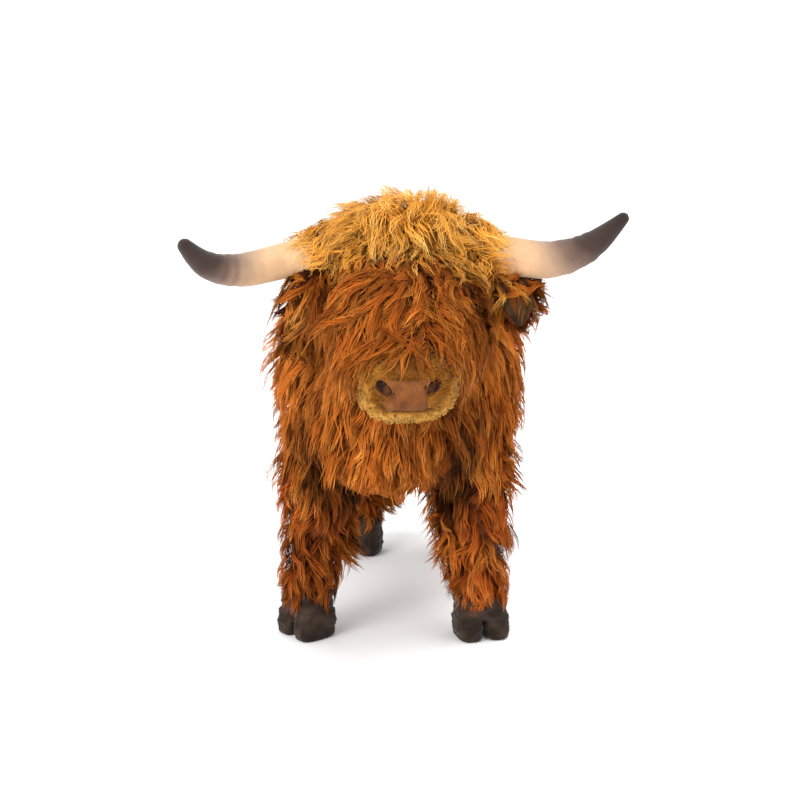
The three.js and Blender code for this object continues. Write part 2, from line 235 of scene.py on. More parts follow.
class Shader:
    """A Principled material that is built up node by node."""

    def __init__(self, name, roughness, **sockets):
        self.material = bpy.data.materials.new(name)
        self.material.use_nodes = True
        self.tree = self.material.node_tree
        self.surface = self.tree.nodes["Principled BSDF"].inputs
        self.surface["Roughness"].default_value = roughness
        for socket, value in sockets.items():
            self.surface[socket.replace("_", " ")].default_value = value

    def give(self, socket, value):
        """Links another node's output to a socket, or sets its value."""
        if isinstance(value, bpy.types.NodeSocket):
            self.tree.links.new(value, socket)
        else:
            socket.default_value = value

    def add(self, kind, inputs=(), **settings):
        node = self.tree.nodes.new(kind)
        for key, value in settings.items():
            setattr(node, key, value)
        for key, value in dict(inputs).items():
            self.give(node.inputs[key], value)
        return node

    def noise(self, scale, detail=3, roughness=0.5, place=None):
        place = place or self.add("ShaderNodeTexCoord").outputs["Object"]
        return self.add("ShaderNodeTexNoise", {"Vector": place, "Scale": scale, "Detail": detail,
                                               "Roughness": roughness}).outputs["Fac"]

    def knit(self, scale):
        place = self.add("ShaderNodeTexCoord").outputs["Object"]
        return self.add("ShaderNodeTexVoronoi", {"Vector": place, "Scale": scale}).outputs["Distance"]

    def ramp(self, factor, *stops):
        """Each stop is (position, colour), or (position, level) for a grey."""
        node = self.add("ShaderNodeValToRGB", {"Fac": factor})
        elements = node.color_ramp.elements
        while len(elements) < len(stops):
            elements.new(0.5)
        for element, (at, colour) in zip(elements, stops):
            element.position = at
            element.color = (*(colour * np.ones(3)), 1)
        return node.outputs["Color"]

    def times(self, a, b):
        """The product of two colours."""
        node = self.add("ShaderNodeMix", data_type="RGBA", blend_type="MULTIPLY")
        for name, value in (("Factor", 1.0), ("A", a), ("B", b)):
            self.give(next(s for s in node.inputs if s.name == name and s.enabled), value)
        return next(s for s in node.outputs if s.enabled)

    def attribute(self, name, output="Color"):
        return self.add("ShaderNodeAttribute", attribute_name=name).outputs[output]

    def finish(self, colour, *bumps, rough=None):
        """Sets the colour, layers of (height, strength, distance), and rough as (unevenness, low, high)."""
        self.give(self.surface["Base Color"], colour)
        if rough:
            spread = self.add("ShaderNodeMapRange", zip(("Value", "To Min", "To Max"), rough))
            self.give(self.surface["Roughness"], spread.outputs["Result"])
        normal = None
        for height, strength, depth in bumps:
            inputs = {"Height": height, "Strength": strength, "Distance": depth}
            if normal is not None:
                inputs["Normal"] = normal
            normal = self.add("ShaderNodeBump", inputs).outputs["Normal"]
        if normal is not None:
            self.give(self.surface["Normal"], normal)
        return self.material


def linear(r, g, b):
    """A colour in linear light from 0-255 values."""
    values = np.array([r, g, b]) / 255
    return np.where(values <= 0.04045, values / 12.92, ((values + 0.055) / 1.055) ** 2.4)


# ---------------------------------------------------------------- camera, light and floor

CAMERA_IN_BODY = np.array([0.1519, -1.633, 0.62])
CAMERA_PITCH = math.radians(10.66)
CAMERA_YAW = math.radians(5)
CAMERA_LENS = 61.7


def add_camera():
    camera = placed("camera", bpy.data.cameras.new("camera"))
    camera.data.lens, camera.data.sensor_width = CAMERA_LENS, 36
    camera.location = ORIGIN + CAMERA_IN_BODY
    camera.rotation_euler = (math.pi / 2 - CAMERA_PITCH, 0, CAMERA_YAW)
    camera.data.clip_start, camera.data.clip_end = 0.05, 60
    bpy.context.scene.camera = camera


def add_sky():
    """A white studio: brightest round the horizon, where a paper sweep would be, softer above."""
    world = bpy.data.worlds.new("studio")
    bpy.context.scene.world = world
    world.use_nodes = True
    nodes, links = world.node_tree.nodes, world.node_tree.links
    place = nodes.new("ShaderNodeTexCoord")
    split = nodes.new("ShaderNodeSeparateXYZ")
    ramp = nodes.new("ShaderNodeValToRGB")
    links.new(place.outputs["Generated"], split.inputs["Vector"])
    links.new(split.outputs["Z"], ramp.inputs["Fac"])
    links.new(ramp.outputs["Color"], nodes["Background"].inputs["Color"])
    for element, height, level in zip(ramp.color_ramp.elements, (0.16, 0.5), (1.46, 1.14)):
        element.position, element.color = height, (level, level, level, 1)


def add_light(name, kind, aim, power, place=(0, 0, 0)):
    light = placed(name, bpy.data.lights.new(name, kind))
    light.data.energy, light.location = power, place
    light.rotation_euler = Vector(aim).to_track_quat("-Z", "Y").to_euler()
    return light.data


def add_studio():
    add_sky()
    add_light("key", "SUN", (-0.28, 0.12, -1.3), 1.5).angle = math.radians(36)
    softbox = add_light("softbox", "AREA", (1.3, 1.7, -0.65), 40, (-1.3, -1.8, 0.95))
    softbox.shape, softbox.size = "DISK", 1.4
    reach = 12
    floor = add_object("floor", [(-reach, -reach, 0), (reach, -reach, 0), (reach, reach, 0), (-reach, reach, 0)],
                       [(0, 1, 2, 3)])
    paper = Shader("floor_paper", 0.85, Specular_IOR_Level=0.1)
    floor.data.materials.append(paper.finish(paper.ramp(paper.noise(3, 2), (0.3, 0.96), (0.7, 0.98))))
    view = bpy.context.scene.view_settings
    view.view_transform, view.look = "Standard", "None"


add_camera()
add_studio()


# ---------------------------------------------------------------- the skin

# How far the skin lies under the tips of the pile, by CAD node.
PILE_DEPTH = {
    "trunk": 0.022, "neck": 0.022, "head": 0.013, "topknot": 0.028,
    **{leg: 0.015 for leg in LEGS}, "tail": 0.007, "tail_switch": 0.014,
}
# The nodes without long pile that the skin only runs on under.
BARE_DEPTH = {"muzzle": 0.005, "chin": 0.005, **{f"cuff_{foot}": 0.004 for foot in FEET}}
SKIN_VOXEL = 0.005


def thickness(points, faces):
    """How far it is from each vertex straight through the body to the other side."""
    tree = tree_of(points, faces)
    inward = -normals_of(points, faces)
    starts = points + inward * 0.002
    hits = [tree.ray_cast(p, d)[3] for p, d in zip(starts.tolist(), inward.tolist())]
    return np.array([1.0 if hit is None else hit for hit in hits])


def add_skin():
    """The skin under the coat: the furry nodes joined, drawn in by the pile's depth, and
    carried on under the muzzle and the cuffs so that no gap shows there."""
    depths = {**PILE_DEPTH, **BARE_DEPTH}
    owner = np.repeat(np.arange(len(depths)), [len(mesh_of(node)[1]) for node in depths])
    cad_points, cad_faces = cad_mesh(*depths)
    cad_tree = tree_of(cad_points, cad_faces)
    points, faces = remeshed(cad_points, cad_faces, SKIN_VOXEL)
    pairs = edges_of(faces)
    points = smoothed(points, pairs, 4)
    depth = np.array(list(depths.values()))[owner[nearest(cad_tree, points)[2]]]
    depth = np.minimum(depth, thickness(points, faces) * 0.3)
    depth = smoothed(depth, pairs, 8)
    steps = 5
    for _ in range(steps):
        points = points - normals_of(points, faces) * depth / steps
        points = smoothed(points, pairs, 2)
    points, faces = remeshed(points, faces, SKIN_VOXEL)
    points = smoothed(points, edges_of(faces), 6)
    part = np.array(list(depths))[owner[nearest(cad_tree, points)[2]]]
    return add_object("skin", points, faces), points, faces, part


def unwrap(made):
    """Unwraps a piece's own shape into the OFBake map that its coat's patches lie on."""
    bpy.ops.object.select_all(action="DESELECT")
    bpy.context.view_layer.objects.active = made
    made.select_set(True)
    made.data.uv_layers.new(name="OFBake")
    bpy.ops.object.mode_set(mode="EDIT")
    bpy.ops.mesh.select_all(action="SELECT")
    bpy.ops.uv.smart_project(angle_limit=math.radians(70), island_margin=0.001)
    bpy.ops.object.mode_set(mode="OBJECT")


skin, skin_points, skin_faces, skin_part = add_skin()
unwrap(skin)


# ---------------------------------------------------------------- how the coat lies

sway = Ripple(0.055, SEED + 1)
sway_fine = Ripple(0.022, SEED + 2)
patches = Ripple(0.09, SEED + 3)
patches_fine = Ripple(0.03, SEED + 4)


def field(*columns):
    """Vectors from their x, y and z, each an array or one number for all."""
    return np.stack(np.broadcast_arrays(*columns), axis=1)


def lie_of_trunk(body, normal):
    x, y, z = body.T
    top = np.clip(normal[:, 2], 0, 1)
    aside = np.sign(x - 0.003) * smoothstep(0, 0.03, abs(x - 0.003))
    back = 0.35 * smoothstep(-0.12, 0.1, y) + 0.5 * top
    return field(aside * top * 1.1 + normal[:, 0] * 0.2, back, -1)


def lie_of_neck(body, normal):
    nx, ny, nz = normal.T
    top = np.clip(nz, 0, 1)
    return field(nx * 0.25 + np.sign(body[:, 0]) * top * 0.7, 0.25 * (1 + ny) + 0.4 * top, -1)


def lie_of_leg(body, normal):
    return field(normal[:, 0] * 0.15, normal[:, 1] * 0.15, -1)


def lie_of_tail(body, normal):
    return field(0 * normal[:, 0], 0.12, -1)


# The face hair goes on over the bridge of the nose as far as this, in the head's own frame.
BRIDGE_END = -0.228
PARTING = 0.012
WHORL_HEIGHT = 0.446


def lie_of_head(body, normal):
    """The brow's hair runs in towards a whorl over the nose, and out and down from there."""
    x, y, z = (body @ TURN).T
    off = x - PARTING
    below = smoothstep(WHORL_HEIGHT + 0.010, WHORL_HEIGHT - 0.014, z)
    inwards = mixed(0.9, 0.45, smoothstep(WHORL_HEIGHT + 0.01, WHORL_HEIGHT + 0.05, z))
    inwards = inwards * smoothstep(0.075, 0.03, abs(off))
    gather = np.clip(off / 0.05, -1, 1) * 0.4 - np.clip(off / 0.045, -1, 1) * inwards
    fan = np.clip((off - 0.014) / 0.026, -1.2, 1) * mixed(0.55, 1.25, smoothstep(0.405, 0.435, z))
    return field(mixed(gather, fan, below), -0.25 + 0.8 * smoothstep(0.05, 0.09, abs(x)),
                 -1 + 0.2 * below * smoothstep(0.41, 0.435, z)) @ TURN.T


def lie_of_cheek(body, normal):
    """Out and down past the jaw, over the neck."""
    return field(np.sign((body @ TURN)[:, 0]) * 0.6, 0.1, -1) @ TURN.T


def lie_of_fringe(body, normal):
    """From a parting over the nose, forward and out to both sides."""
    x = (body @ TURN)[:, 0]
    return field(np.clip((x - PARTING - 0.012) / 0.012, -0.9, 0.8), -0.6, -0.65) @ TURN.T


def lie_of_crown(body, normal):
    """Up and apart from the middle of the topknot."""
    x = (body @ TURN)[:, 0]
    return field(np.clip((x - 0.02) / 0.03, -1, 1) * 0.9, 0.15, 0.35) @ TURN.T


def lie_of_muzzle(body, normal):
    """The short pile is brushed back from the nose."""
    x = (body @ TURN)[:, 0]
    return field(np.clip(x / 0.03, -1, 1) * 0.8, 0.5, -0.5) @ TURN.T


def lie_of_topknot(body, normal):
    x, y, z = (body @ TURN).T
    front = smoothstep(-0.06, -0.13, y)
    return field(np.clip(x / 0.07, -1.4, 1.4) * 0.9, mixed(0.7, -0.8, front), -0.65 - 0.35 * front) @ TURN.T


def lie_of_ear(body, normal):
    """Down the ear, and out past its edges."""
    return unit(field(np.sign((body @ TURN)[:, 0]) * 0.25, 0, -1) @ TURN.T + normal * 0.25)


# Each coat's colour at the root, along the hair and at the tip.
RUST = [linear(54, 21, 6), linear(135, 67, 18), linear(206, 130, 56)]
DEEP_RUST = [linear(50, 18, 5), linear(128, 58, 16), linear(192, 108, 44)]
GOLD = [linear(166, 102, 32), linear(212, 142, 54), linear(242, 200, 124)]
OLIVE = [linear(40, 25, 13), linear(100, 64, 34), linear(168, 116, 64)]


class Style:
    """How one region's coat grows. Lengths are in metres, locks, strands of a lock and rings of a strand are
    counts; low and high are shares of the room under the outline."""
    spread, clump, lift, weight, swirl, jitter, wave = 0.005, 0.72, 0.3, 0.25, 0.5, 0.2, 0.0012
    stray, rings, hold, low, high, dark, wild, vary = 0.08, 3, 0.5, 0.45, 1.08, 0, 0, 1
    longer = fold = shadow = None
    palettes, free = (RUST, GOLD), False

    def __init__(self, lie, locks, strands, length, width, **changes):
        self.lie, self.locks, self.strands, self.length, self.width = lie, locks, strands, length, width
        self.__dict__.update(changes)


def fringe_length(places):
    """The face hair is longest where it falls over the whorl and the top of the muzzle."""
    x, y, z = to_head(places).T
    return 1 + 0.75 * smoothstep(-0.15, -0.19, y) * smoothstep(0.385, 0.41, z) * smoothstep(0.065, 0.035, abs(x))


def forelock_length(places):
    """The forelock is cut short over the brow."""
    x, y, z = to_head(places).T
    return 1 - 0.52 * smoothstep(0.53, 0.497, z) * smoothstep(-0.06, -0.11, y)


def bridge_length(places):
    """The hair over the muzzle reaches further down on one side."""
    x = to_head(places)[:, 0]
    return mixed(1.35, 0.7, smoothstep(-0.01, 0.03, x))


def sock_length(places):
    """The leg's pile is cut shorter towards the hoof."""
    return 0.82 + 0.18 * smoothstep(0.06, 0.13, places[:, 2])


def bib_edge(z, left):
    """How far the bib of the chest reaches to its left or right at a height."""
    left_edge = np.interp(z, (0.196, 0.212, 0.222, 0.252, 0.326), (0, 0.036, 0.053, 0.075, 0.079))
    right_edge = np.interp(z, (0.190, 0.204, 0.224, 0.245, 0.275, 0.323), (0, 0.026, 0.049, 0.070, 0.084, 0.098))
    return np.where(left, left_edge, right_edge)


def chest_fold(body):
    """1 where the front legs and the belly meet the chest's bib, 0 on the bib and away from it."""
    x, y, z = body.T
    off = abs(x) - bib_edge(z - 0.02, x > 0)
    fold = smoothstep(-0.004, 0.006, off) * np.exp(-(np.maximum(off, 0) / np.where(x > 0, 0.03, 0.016)) ** 2)
    return fold * smoothstep(0.385, 0.34, z) * smoothstep(0.12, 0.17, z) * smoothstep(0.06, 0.0, y)


def chest_shadow(body):
    """Painted shade and painted light on the pile: how much darker it is in those folds, and how much lighter on
    the shoulders.
    """
    x, y, z = body.T
    ragged = 0.006 * sway_fine(body)
    off = abs(x) - bib_edge(z, x > 0) + ragged
    outer = np.where(x > 0, np.interp(z, (0.14, 0.20, 0.25), (0.070, 0.096, 0.110)),
                     np.interp(z, (0.15, 0.20, 0.33), (0.084, 0.110, 0.114)))
    fold = smoothstep(-0.004, 0.004, off) * smoothstep(0.014, -0.012, abs(x) - outer + ragged)
    fold = fold * smoothstep(0.37, 0.325, z) * smoothstep(0.12, 0.17, z) * smoothstep(0.08, 0.02, y)
    # Painted shade in the folds, deepest low down.
    deep = mixed(0.36, 0.9, smoothstep(0.31, 0.26, z))
    # Painted light: lighter pile on the shoulders and down the legs on one side, darker pile low on the other
    # side.
    lit = 2.4 * smoothstep(-0.09, -0.12, x) * smoothstep(0.26, 0.32, z)
    lit = lit + 2.2 * smoothstep(0.085, 0.115, x) * smoothstep(0.29, 0.34, z)
    lit = lit + 0.6 * smoothstep(0.085, 0.115, x) * smoothstep(0.31, 0.25, z)
    lit = lit + 0.8 * smoothstep(0.05, 0.08, x) * smoothstep(0.17, 0.11, z)
    lit = lit - 0.5 * smoothstep(-0.05, -0.08, x) * smoothstep(0.16, 0.11, z)
    return deep * fold - 0.22 * lit * smoothstep(0.25, 0.12, y)


def face_shadow(body):
    """Painted shade: how much darker the pile is beside the eyes and at the roots of the ears."""
    x, y, z = (body @ TURN).T
    return 0.5 * np.exp(-((abs(x) - 0.078) / 0.016) ** 2 - ((z - 0.452) / 0.026) ** 2)


def temple_fold(body):
    """1 in the hollows between the face and the ears, 0 away from them."""
    x, y, z = (body @ TURN).T
    return np.exp(-((abs(x) - 0.080) / 0.013) ** 2 - ((z - 0.452) / 0.022) ** 2)


STYLES = {
    "trunk": Style(lie_of_trunk, 2200, 12, 0.054, 0.0018, spread=0.0090, clump=0.5, swirl=0.36, wave=0.0014,
                   high=1.35, wild=0.08, stray=0.12, fold=chest_fold, shadow=chest_shadow),
    "neck": Style(lie_of_neck, 400, 13, 0.054, 0.0018, spread=0.0090, clump=0.5, swirl=0.34, wave=0.0014,
                  high=1.3, wild=0.08, stray=0.12, dark=0.06, fold=chest_fold, shadow=chest_shadow),
    "legs": Style(lie_of_leg, 1450, 12, 0.042, 0.0015, spread=0.0075, clump=0.55, swirl=0.5,
                  jitter=0.34, wave=0.0016, lift=0.42, dark=0.12, high=1.6, wild=0.06, longer=sock_length,
                  fold=chest_fold, shadow=chest_shadow, palettes=(DEEP_RUST, GOLD)),
    "head": Style(lie_of_head, 1350, 6, 0.045, 0.0014, spread=0.0034, swirl=0.5, wave=0.0040, jitter=0.44,
                  rings=4, clump=0.85, lift=0.55, stray=0.1, hold=0.25, longer=fringe_length, dark=0.24,
                  low=0.35, high=1.5, fold=temple_fold, shadow=face_shadow, vary=2.2),
    "fringe": Style(lie_of_fringe, 260, 7, 0.076, 0.0014, spread=0.0045, swirl=0.5, wave=0.0034, jitter=0.4,
                    rings=4, clump=0.8, lift=0.75, stray=0.12, hold=0, low=0.8, high=1.6, weight=0.26,
                    longer=bridge_length, dark=0.08, vary=2.0),
    "cheek": Style(lie_of_cheek, 250, 8, 0.058, 0.0014, spread=0.0045, swirl=0.4, wave=0.0024, jitter=0.35,
                   rings=4, clump=0.7, lift=0.75, stray=0.15, hold=0, weight=0.4, dark=0.23, low=0.6, high=1.5),
    "topknot": Style(lie_of_topknot, 590, 11, 0.070, 0.0010, spread=0.0095, swirl=0.6, wave=0.0024,
                     rings=4, clump=0.4, lift=0.8, stray=0.3, jitter=0.4, hold=0.2, low=0.8, high=1.7,
                     weight=0.12, longer=forelock_length, vary=0.6),
    "crown": Style(lie_of_crown, 110, 11, 0.048, 0.0010, spread=0.007, swirl=0.5, wave=0.0022,
                   rings=4, clump=0.4, lift=0.9, stray=0.35, jitter=0.4, hold=0, low=0.9, high=1.5, weight=0,
                   vary=0.6),
    "tail": Style(lie_of_tail, 320, 9, 0.055, 0.0016, spread=0.006, swirl=0.3, hold=0.1, high=1.3),
}
REGION_OF = {
    "trunk": "trunk", "neck": "neck", "head": "head", "topknot": "topknot", "tail": "tail",
    "tail_switch": "tail", **{leg: "legs" for leg in LEGS},
}
GUIDE_STEPS = 7


def rows_of(name, region, head):
    """Which of the skin's triangles a style's locks grow from, by region and place in the head's frame."""
    x, y, z = head.T
    among = {
        "cheek": (region == "head") & (abs(x) > 0.042) & (z < 0.435) & (y > -0.205),
        "fringe": (region == "head") & (y < -0.16) & (abs(x - PARTING) < 0.055) & (z > 0.386),
        "crown": (region == "topknot") & (z > 0.522) & (abs(x) < 0.07),
    }
    return np.nonzero(among.get(name, region == name))[0]


def lie_at(style, places, normals, turn):
    """The direction that the coat lies in at each place, tangent to the skin unless the style is free."""
    body = places - ORIGIN
    lie = style.lie(body, normals)
    lie = unit(lie - normals * dot(lie, normals) * (not style.free) + 1e-6)
    angle = (style.swirl * (sway(body) + 0.5 * sway_fine(body)) + turn)[:, None]
    return lie * np.cos(angle) + np.cross(normals, lie) * np.sin(angle)


class Ground:
    """What a coat grows between: a surface below it and an outline above it. With no outline,
    the room over the surface is the same everywhere."""

    def __init__(self, below, above=None, room=0.012):
        self.below = tree_of(*below)
        self.above = tree_of(*above) if above else None
        self.room = room

    def measure(self, places):
        """Height over the ground, the ground's normal, and how far the outline is beyond."""
        surface, normal, _ = nearest(self.below, places)
        gap = dot(places - surface, normal)
        if self.above is None:
            return gap, normal, self.room - gap
        outline, out, _ = nearest(self.above, places)
        return gap, normal, dot(outline - places, out)


def guides(style, roots, normals, ground, rng):
    """The middle line of each lock, led along the lie of the coat, kept off the skin and
    filling a share of the room under the CAD outline."""
    count = len(roots)
    length = style.length * rng.uniform(0.7, 1.2, count)
    if style.longer:
        length = length * style.longer(roots)
    share_of_room = rng.uniform(style.low, style.high, count)
    turn = rng.normal(0, style.jitter, count)
    wild = rng.uniform(0, 1, count) < style.wild
    length, share_of_room = length * np.where(wild, 1.2, 1), share_of_room * np.where(wild, 1.7, 1)
    if style.fold:
        share_of_room = share_of_room * (1 - 0.6 * style.fold(roots - ORIGIN))
    step = (length / GUIDE_STEPS)[:, None]
    where, normal = roots.copy(), normals.copy()
    points, frames = [where.copy()], [normal.copy()]
    heading = unit(normals * (0.5 + style.lift) + lie_at(style, where, normal, turn) * (1 - style.lift))
    down = np.array([0, 0, -1.0])
    for index in range(1, GUIDE_STEPS + 1):
        where = where + heading * step
        gap, normal_here, left = ground.measure(where)
        depth = np.clip(gap + left, 0.004, 0.06)
        normal = unit(normal * 0.5 + normal_here * 0.5)
        share = index / GUIDE_STEPS
        wanted = depth * (share_of_room * (1 - (1 - share) ** 2.4))[:, None]
        push = np.maximum(wanted * 0.85 + 0.0005 - gap, 0)
        pull = np.maximum(gap - wanted, 0) * style.hold + np.maximum(-left, 0) * 0.6 * (style.hold > 0)
        pull = np.minimum(pull, np.maximum(gap - wanted * 0.85, 0))
        where = where + normal_here * (push - pull)
        points.append(where.copy())
        frames.append(normal.copy())
        lie = lie_at(style, where, normal, turn)
        heading = unit(heading * 0.45 + lie * 0.55 + down * style.weight)
    return np.stack(points, axis=1), np.stack(frames, axis=1), share_of_room


def along(guide, t):
    """The places on each polyline at parameters t from 0 to 1."""
    at = np.clip(t, 0, 1) * (guide.shape[1] - 1)
    low = np.clip(at.astype(int), 0, guide.shape[1] - 2)
    share = (at - low)[..., None]
    rows = np.arange(len(guide))[:, None]
    return guide[rows, low] * (1 - share) + guide[rows, low + 1] * share


SKIN_RUST, SKIN_GOLD = linear(108, 50, 19), linear(170, 110, 44)
MOST_TRIANGLES = 190000
MAP_PATCH = 0.003


def coat_colour(palettes, t, share, tone, light):
    """Root to tip colours of strands: t runs along each, share mixes the two palettes."""
    made = []
    for root, body, tip in palettes:
        base = mixed(root, body, smoothstep(0, 0.45, t))
        made.append(mixed(base, tip, smoothstep(0.45, 1.0, t) * light))
    return mixed(made[0], made[1], share) * (1 + tone)


def add_strands(name, parts, material, undersides=False):
    """Turns what grow() gave into joined meshes, each with fewer triangles than MOST_TRIANGLES."""
    data = [np.concatenate(arrays) for arrays in zip(*parts)]
    triangles = (data[0].shape[1] - 2) * 6 + 4
    pieces = math.ceil(len(data[0]) / (MOST_TRIANGLES // triangles))
    order = np.argsort(data[0][:, 0, 1], kind="stable")
    for number, rows in enumerate(np.array_split(order, pieces)):
        piece = f"coat_{name}" + (f"_{number + 1}" if pieces > 1 else "")
        finish_piece(strand_object(piece, *[d[rows] for d in data], undersides), material)


def strand_object(name, centres, sides, ups, widths, colours, roots_uv, undersides):
    """Closed three-sided tapering hairs as one mesh. centres, sides, ups: strands x rings x 3, the last
    ring being the tip; widths: strands x rings."""
    count, rings = centres.shape[:2]
    half = widths[:, :-1, None] / 2
    body, side, up = centres[:, :-1], sides[:, :-1], ups[:, :-1]
    rise = unit(np.cross(sides, unit(np.gradient(centres, axis=1))))[:, :-1]
    corners = np.stack([body + side * half - rise * half * 0.15, body + rise * half * 0.45,
                        body - side * half - rise * half * 0.15], axis=2)
    points = np.concatenate([corners.reshape(count, -1, 3), centres[:, -1:]], axis=1)
    per = points.shape[1]
    quads = [(ring * 3 + k, ring * 3 + k + 3, ring * 3 + (k + 1) % 3 + 3, ring * 3 + (k + 1) % 3)
             for ring in range(rings - 2) for k in range(3)]
    last = per - 4
    triangles = [(0, 1, 2)] + [(last + k, per - 1, last + (k + 1) % 3) for k in range(3)]
    pattern = np.array([i for face in quads + triangles for i in face])
    sizes = np.tile([4] * len(quads) + [3] * len(triangles), count)
    loops = np.arange(count)[:, None] * per + pattern
    mesh = bpy.data.meshes.new(name)
    mesh.vertices.add(count * per)
    write(mesh.vertices, "co", points)
    mesh.loops.add(loops.size)
    write(mesh.loops, "vertex_index", loops, np.int32)
    mesh.polygons.add(len(sizes))
    write(mesh.polygons, "loop_start", np.cumsum(sizes) - sizes, np.int32)
    mesh.update(calc_edges=True)
    mesh.shade_smooth()
    shade = np.concatenate([np.repeat(colours[:, :-1], 3, axis=1), colours[:, -1:]], axis=1)
    shade = np.concatenate([shade, np.ones((*shade.shape[:2], 1))], axis=2)
    write(mesh.color_attributes.new("coat", "FLOAT_COLOR", "POINT").data, "color", np.clip(shade, 0, 1))
    # Each hair's patch of the map is a small square at its root's place.
    across = np.array([0, 0.5, 1] * (rings - 1) + [0.5]) - 0.5
    down = np.concatenate([np.repeat(np.arange(rings - 1), 3), [rings - 1]]) / (rings - 1) - 0.5
    uv = (roots_uv[:, None] + np.stack([across, down], axis=1) * MAP_PATCH)[:, pattern]
    write(mesh.uv_layers.new(name="OFBake").data, "uv", np.clip(uv, 0, 1))
    # The fibres' own direction across and along each strand, for the shader's fine streaks.
    shift = np.random.default_rng(loops.size).uniform(0, 40, (count, 1))
    fibre = np.stack([across + 0.5 + shift, np.broadcast_to(down, (count, per)), shift + 0 * across], axis=2)
    write(mesh.attributes.new("fibre", "FLOAT_VECTOR", "POINT").data, "vector", fibre)
    # Hair lit as a soft mass: normals lean from the hair's own sides towards the coat's.
    lean = np.stack([up + side * 0.55, up, up - side * 0.55], axis=2).reshape(count, -1, 3)
    lean = unit(np.concatenate([lean, ups[:, -1:]], axis=1))[:, pattern]
    if undersides:
        # Hair seen from beneath, as round an ear's edge, is lit from beneath too.
        under = [n for ring in range(rings - 2) for n in range(ring * 12 + 8, ring * 12 + 12)]
        lean[:, under + [len(quads) * 4 + n for n in (9, 10, 11)]] *= -1
    mesh.normals_split_custom_set(lean.reshape(-1, 3).tolist())
    return placed(name, mesh)


class Surface:
    """What hair is rooted in: a mesh with its normals, its triangles and their places on its unwrap."""

    def __init__(self, made, points, normals):
        mesh = made.data
        mesh.calc_loop_triangles()
        self.points, self.normals = points, normals
        self.triangles = read(mesh.loop_triangles, "vertices", 3, np.int32)
        self.first = self.triangles[:, 0]
        uv = read(mesh.uv_layers["OFBake"].data, "uv", 2, np.float32)
        self.corner_uv = uv[read(mesh.loop_triangles, "loops", 3, np.int32)]

    def roots(self, rows, count, rng, weight):
        """Places spread evenly over some triangles, with their normals and map places."""
        chosen = self.triangles[rows]
        a, b, c = (self.points[chosen[:, i]] for i in range(3))
        total = np.cumsum(np.linalg.norm(np.cross(b - a, c - a), axis=1) / 2 * weight)
        at = (np.arange(count) + rng.uniform(0, 1, count)) / count * total[-1]
        pick = np.minimum(np.searchsorted(total, at), len(total) - 1)
        u, v = rng.uniform(0, 1, (2, count))
        over = u + v > 1
        u[over], v[over] = 1 - u[over], 1 - v[over]
        shares = np.stack([1 - u - v, u, v], axis=1)[..., None]
        corner = chosen[pick]
        place = (self.points[corner] * shares).sum(axis=1)
        normal = unit((self.normals[corner] * shares).sum(axis=1))
        return place, normal, (self.corner_uv[rows][pick] * shares).sum(axis=1)


def grow(style, surface, rows, ground, rng, gold_of, weight=1):
    """Locks of strands rooted in some triangles: (centres, sides, ups, widths, colours, map places)."""
    roots, normals, uvs = surface.roots(rows, style.locks, rng, weight)
    guide, upright, high = guides(style, roots, normals, ground, rng)
    locks, per = len(roots), style.strands
    owner = np.repeat(np.arange(locks), per)
    count = len(owner)
    rings = style.rings + 1
    t = np.linspace(0, 1, rings)[None] * np.ones((count, 1))
    reach = rng.uniform(0.72, 1.0, count)[:, None]
    guide, upright = guide[owner], upright[owner]
    centres = along(guide, t * reach)
    ups = unit(along(upright, t * reach))
    # Strands start spread round the lock's root and close in on its tip.
    side0 = unit(np.cross(guide[:, -1] - guide[:, 0] + 1e-6, upright[:, 0]))
    ahead0 = np.cross(upright[:, 0], side0)
    angle = rng.uniform(0, 2 * math.pi, count)
    radius = style.spread * np.sqrt(rng.uniform(0, 1, count))
    offset = side0 * (np.cos(angle) * radius)[:, None] + ahead0 * (np.sin(angle) * radius)[:, None]
    close = np.where(rng.uniform(0, 1, count) < style.stray, -0.8, style.clump)[:, None]
    centres = centres + offset[:, None] * (1 - close * t ** 0.8)[..., None]
    tangent = unit(np.gradient(centres, axis=1))
    sides = unit(np.cross(tangent, ups) + side0[:, None] * 0.12)
    # A slow curl for the whole lock and a finer one for each strand.
    for owner_phase, gain, turns in ((rng.uniform(0, 2 * math.pi, locks)[owner], 1.6, 0.9),
                                     (rng.uniform(0, 2 * math.pi, count), 0.8, 1.7)):
        bend = t * 2 * math.pi * turns + owner_phase[:, None]
        swing = style.wave * gain * t ** 0.7
        centres = centres + sides * (np.sin(bend) * swing)[..., None]
        centres = centres + ups * (np.cos(bend) * swing * 0.4)[..., None]
    thick = style.width * rng.uniform(0.65, 1.25, count)[:, None]
    widths = thick * (0.75 + 0.35 * np.sin(t * math.pi)) * (1 - 0.65 * t ** 1.5)
    centres[:, 0] -= upright[:, 0] * 0.002
    body = roots - ORIGIN
    gold = np.clip(gold_of(roots) + rng.normal(0, 0.08, locks), 0, 1)[owner]
    tone = (0.16 * patches(body) + 0.1 * patches_fine(body) + rng.normal(0, 0.12 * style.vary, locks)
            + 0.3 * (np.minimum(high, 1.4) - 0.85) - style.dark)
    tone = tone[owner] + rng.normal(0, 0.17 * min(style.vary, 1), count)
    tone = tone[:, None]
    # Painted shade and painted light along each strand, by where it lies.
    if style.shadow:
        tone = tone - style.shadow(centres.reshape(-1, 3) - ORIGIN).reshape(count, rings)
    light = np.clip(rng.normal(0.45, 0.34, locks)[owner] + rng.normal(0, 0.28, count), 0, 1)
    colours = coat_colour(style.palettes, (t * reach)[..., None], gold[:, None, None],
                          np.clip(tone, -0.9, 0.55)[..., None], light[:, None, None])
    return centres, sides, ups, widths, colours, uvs[owner]


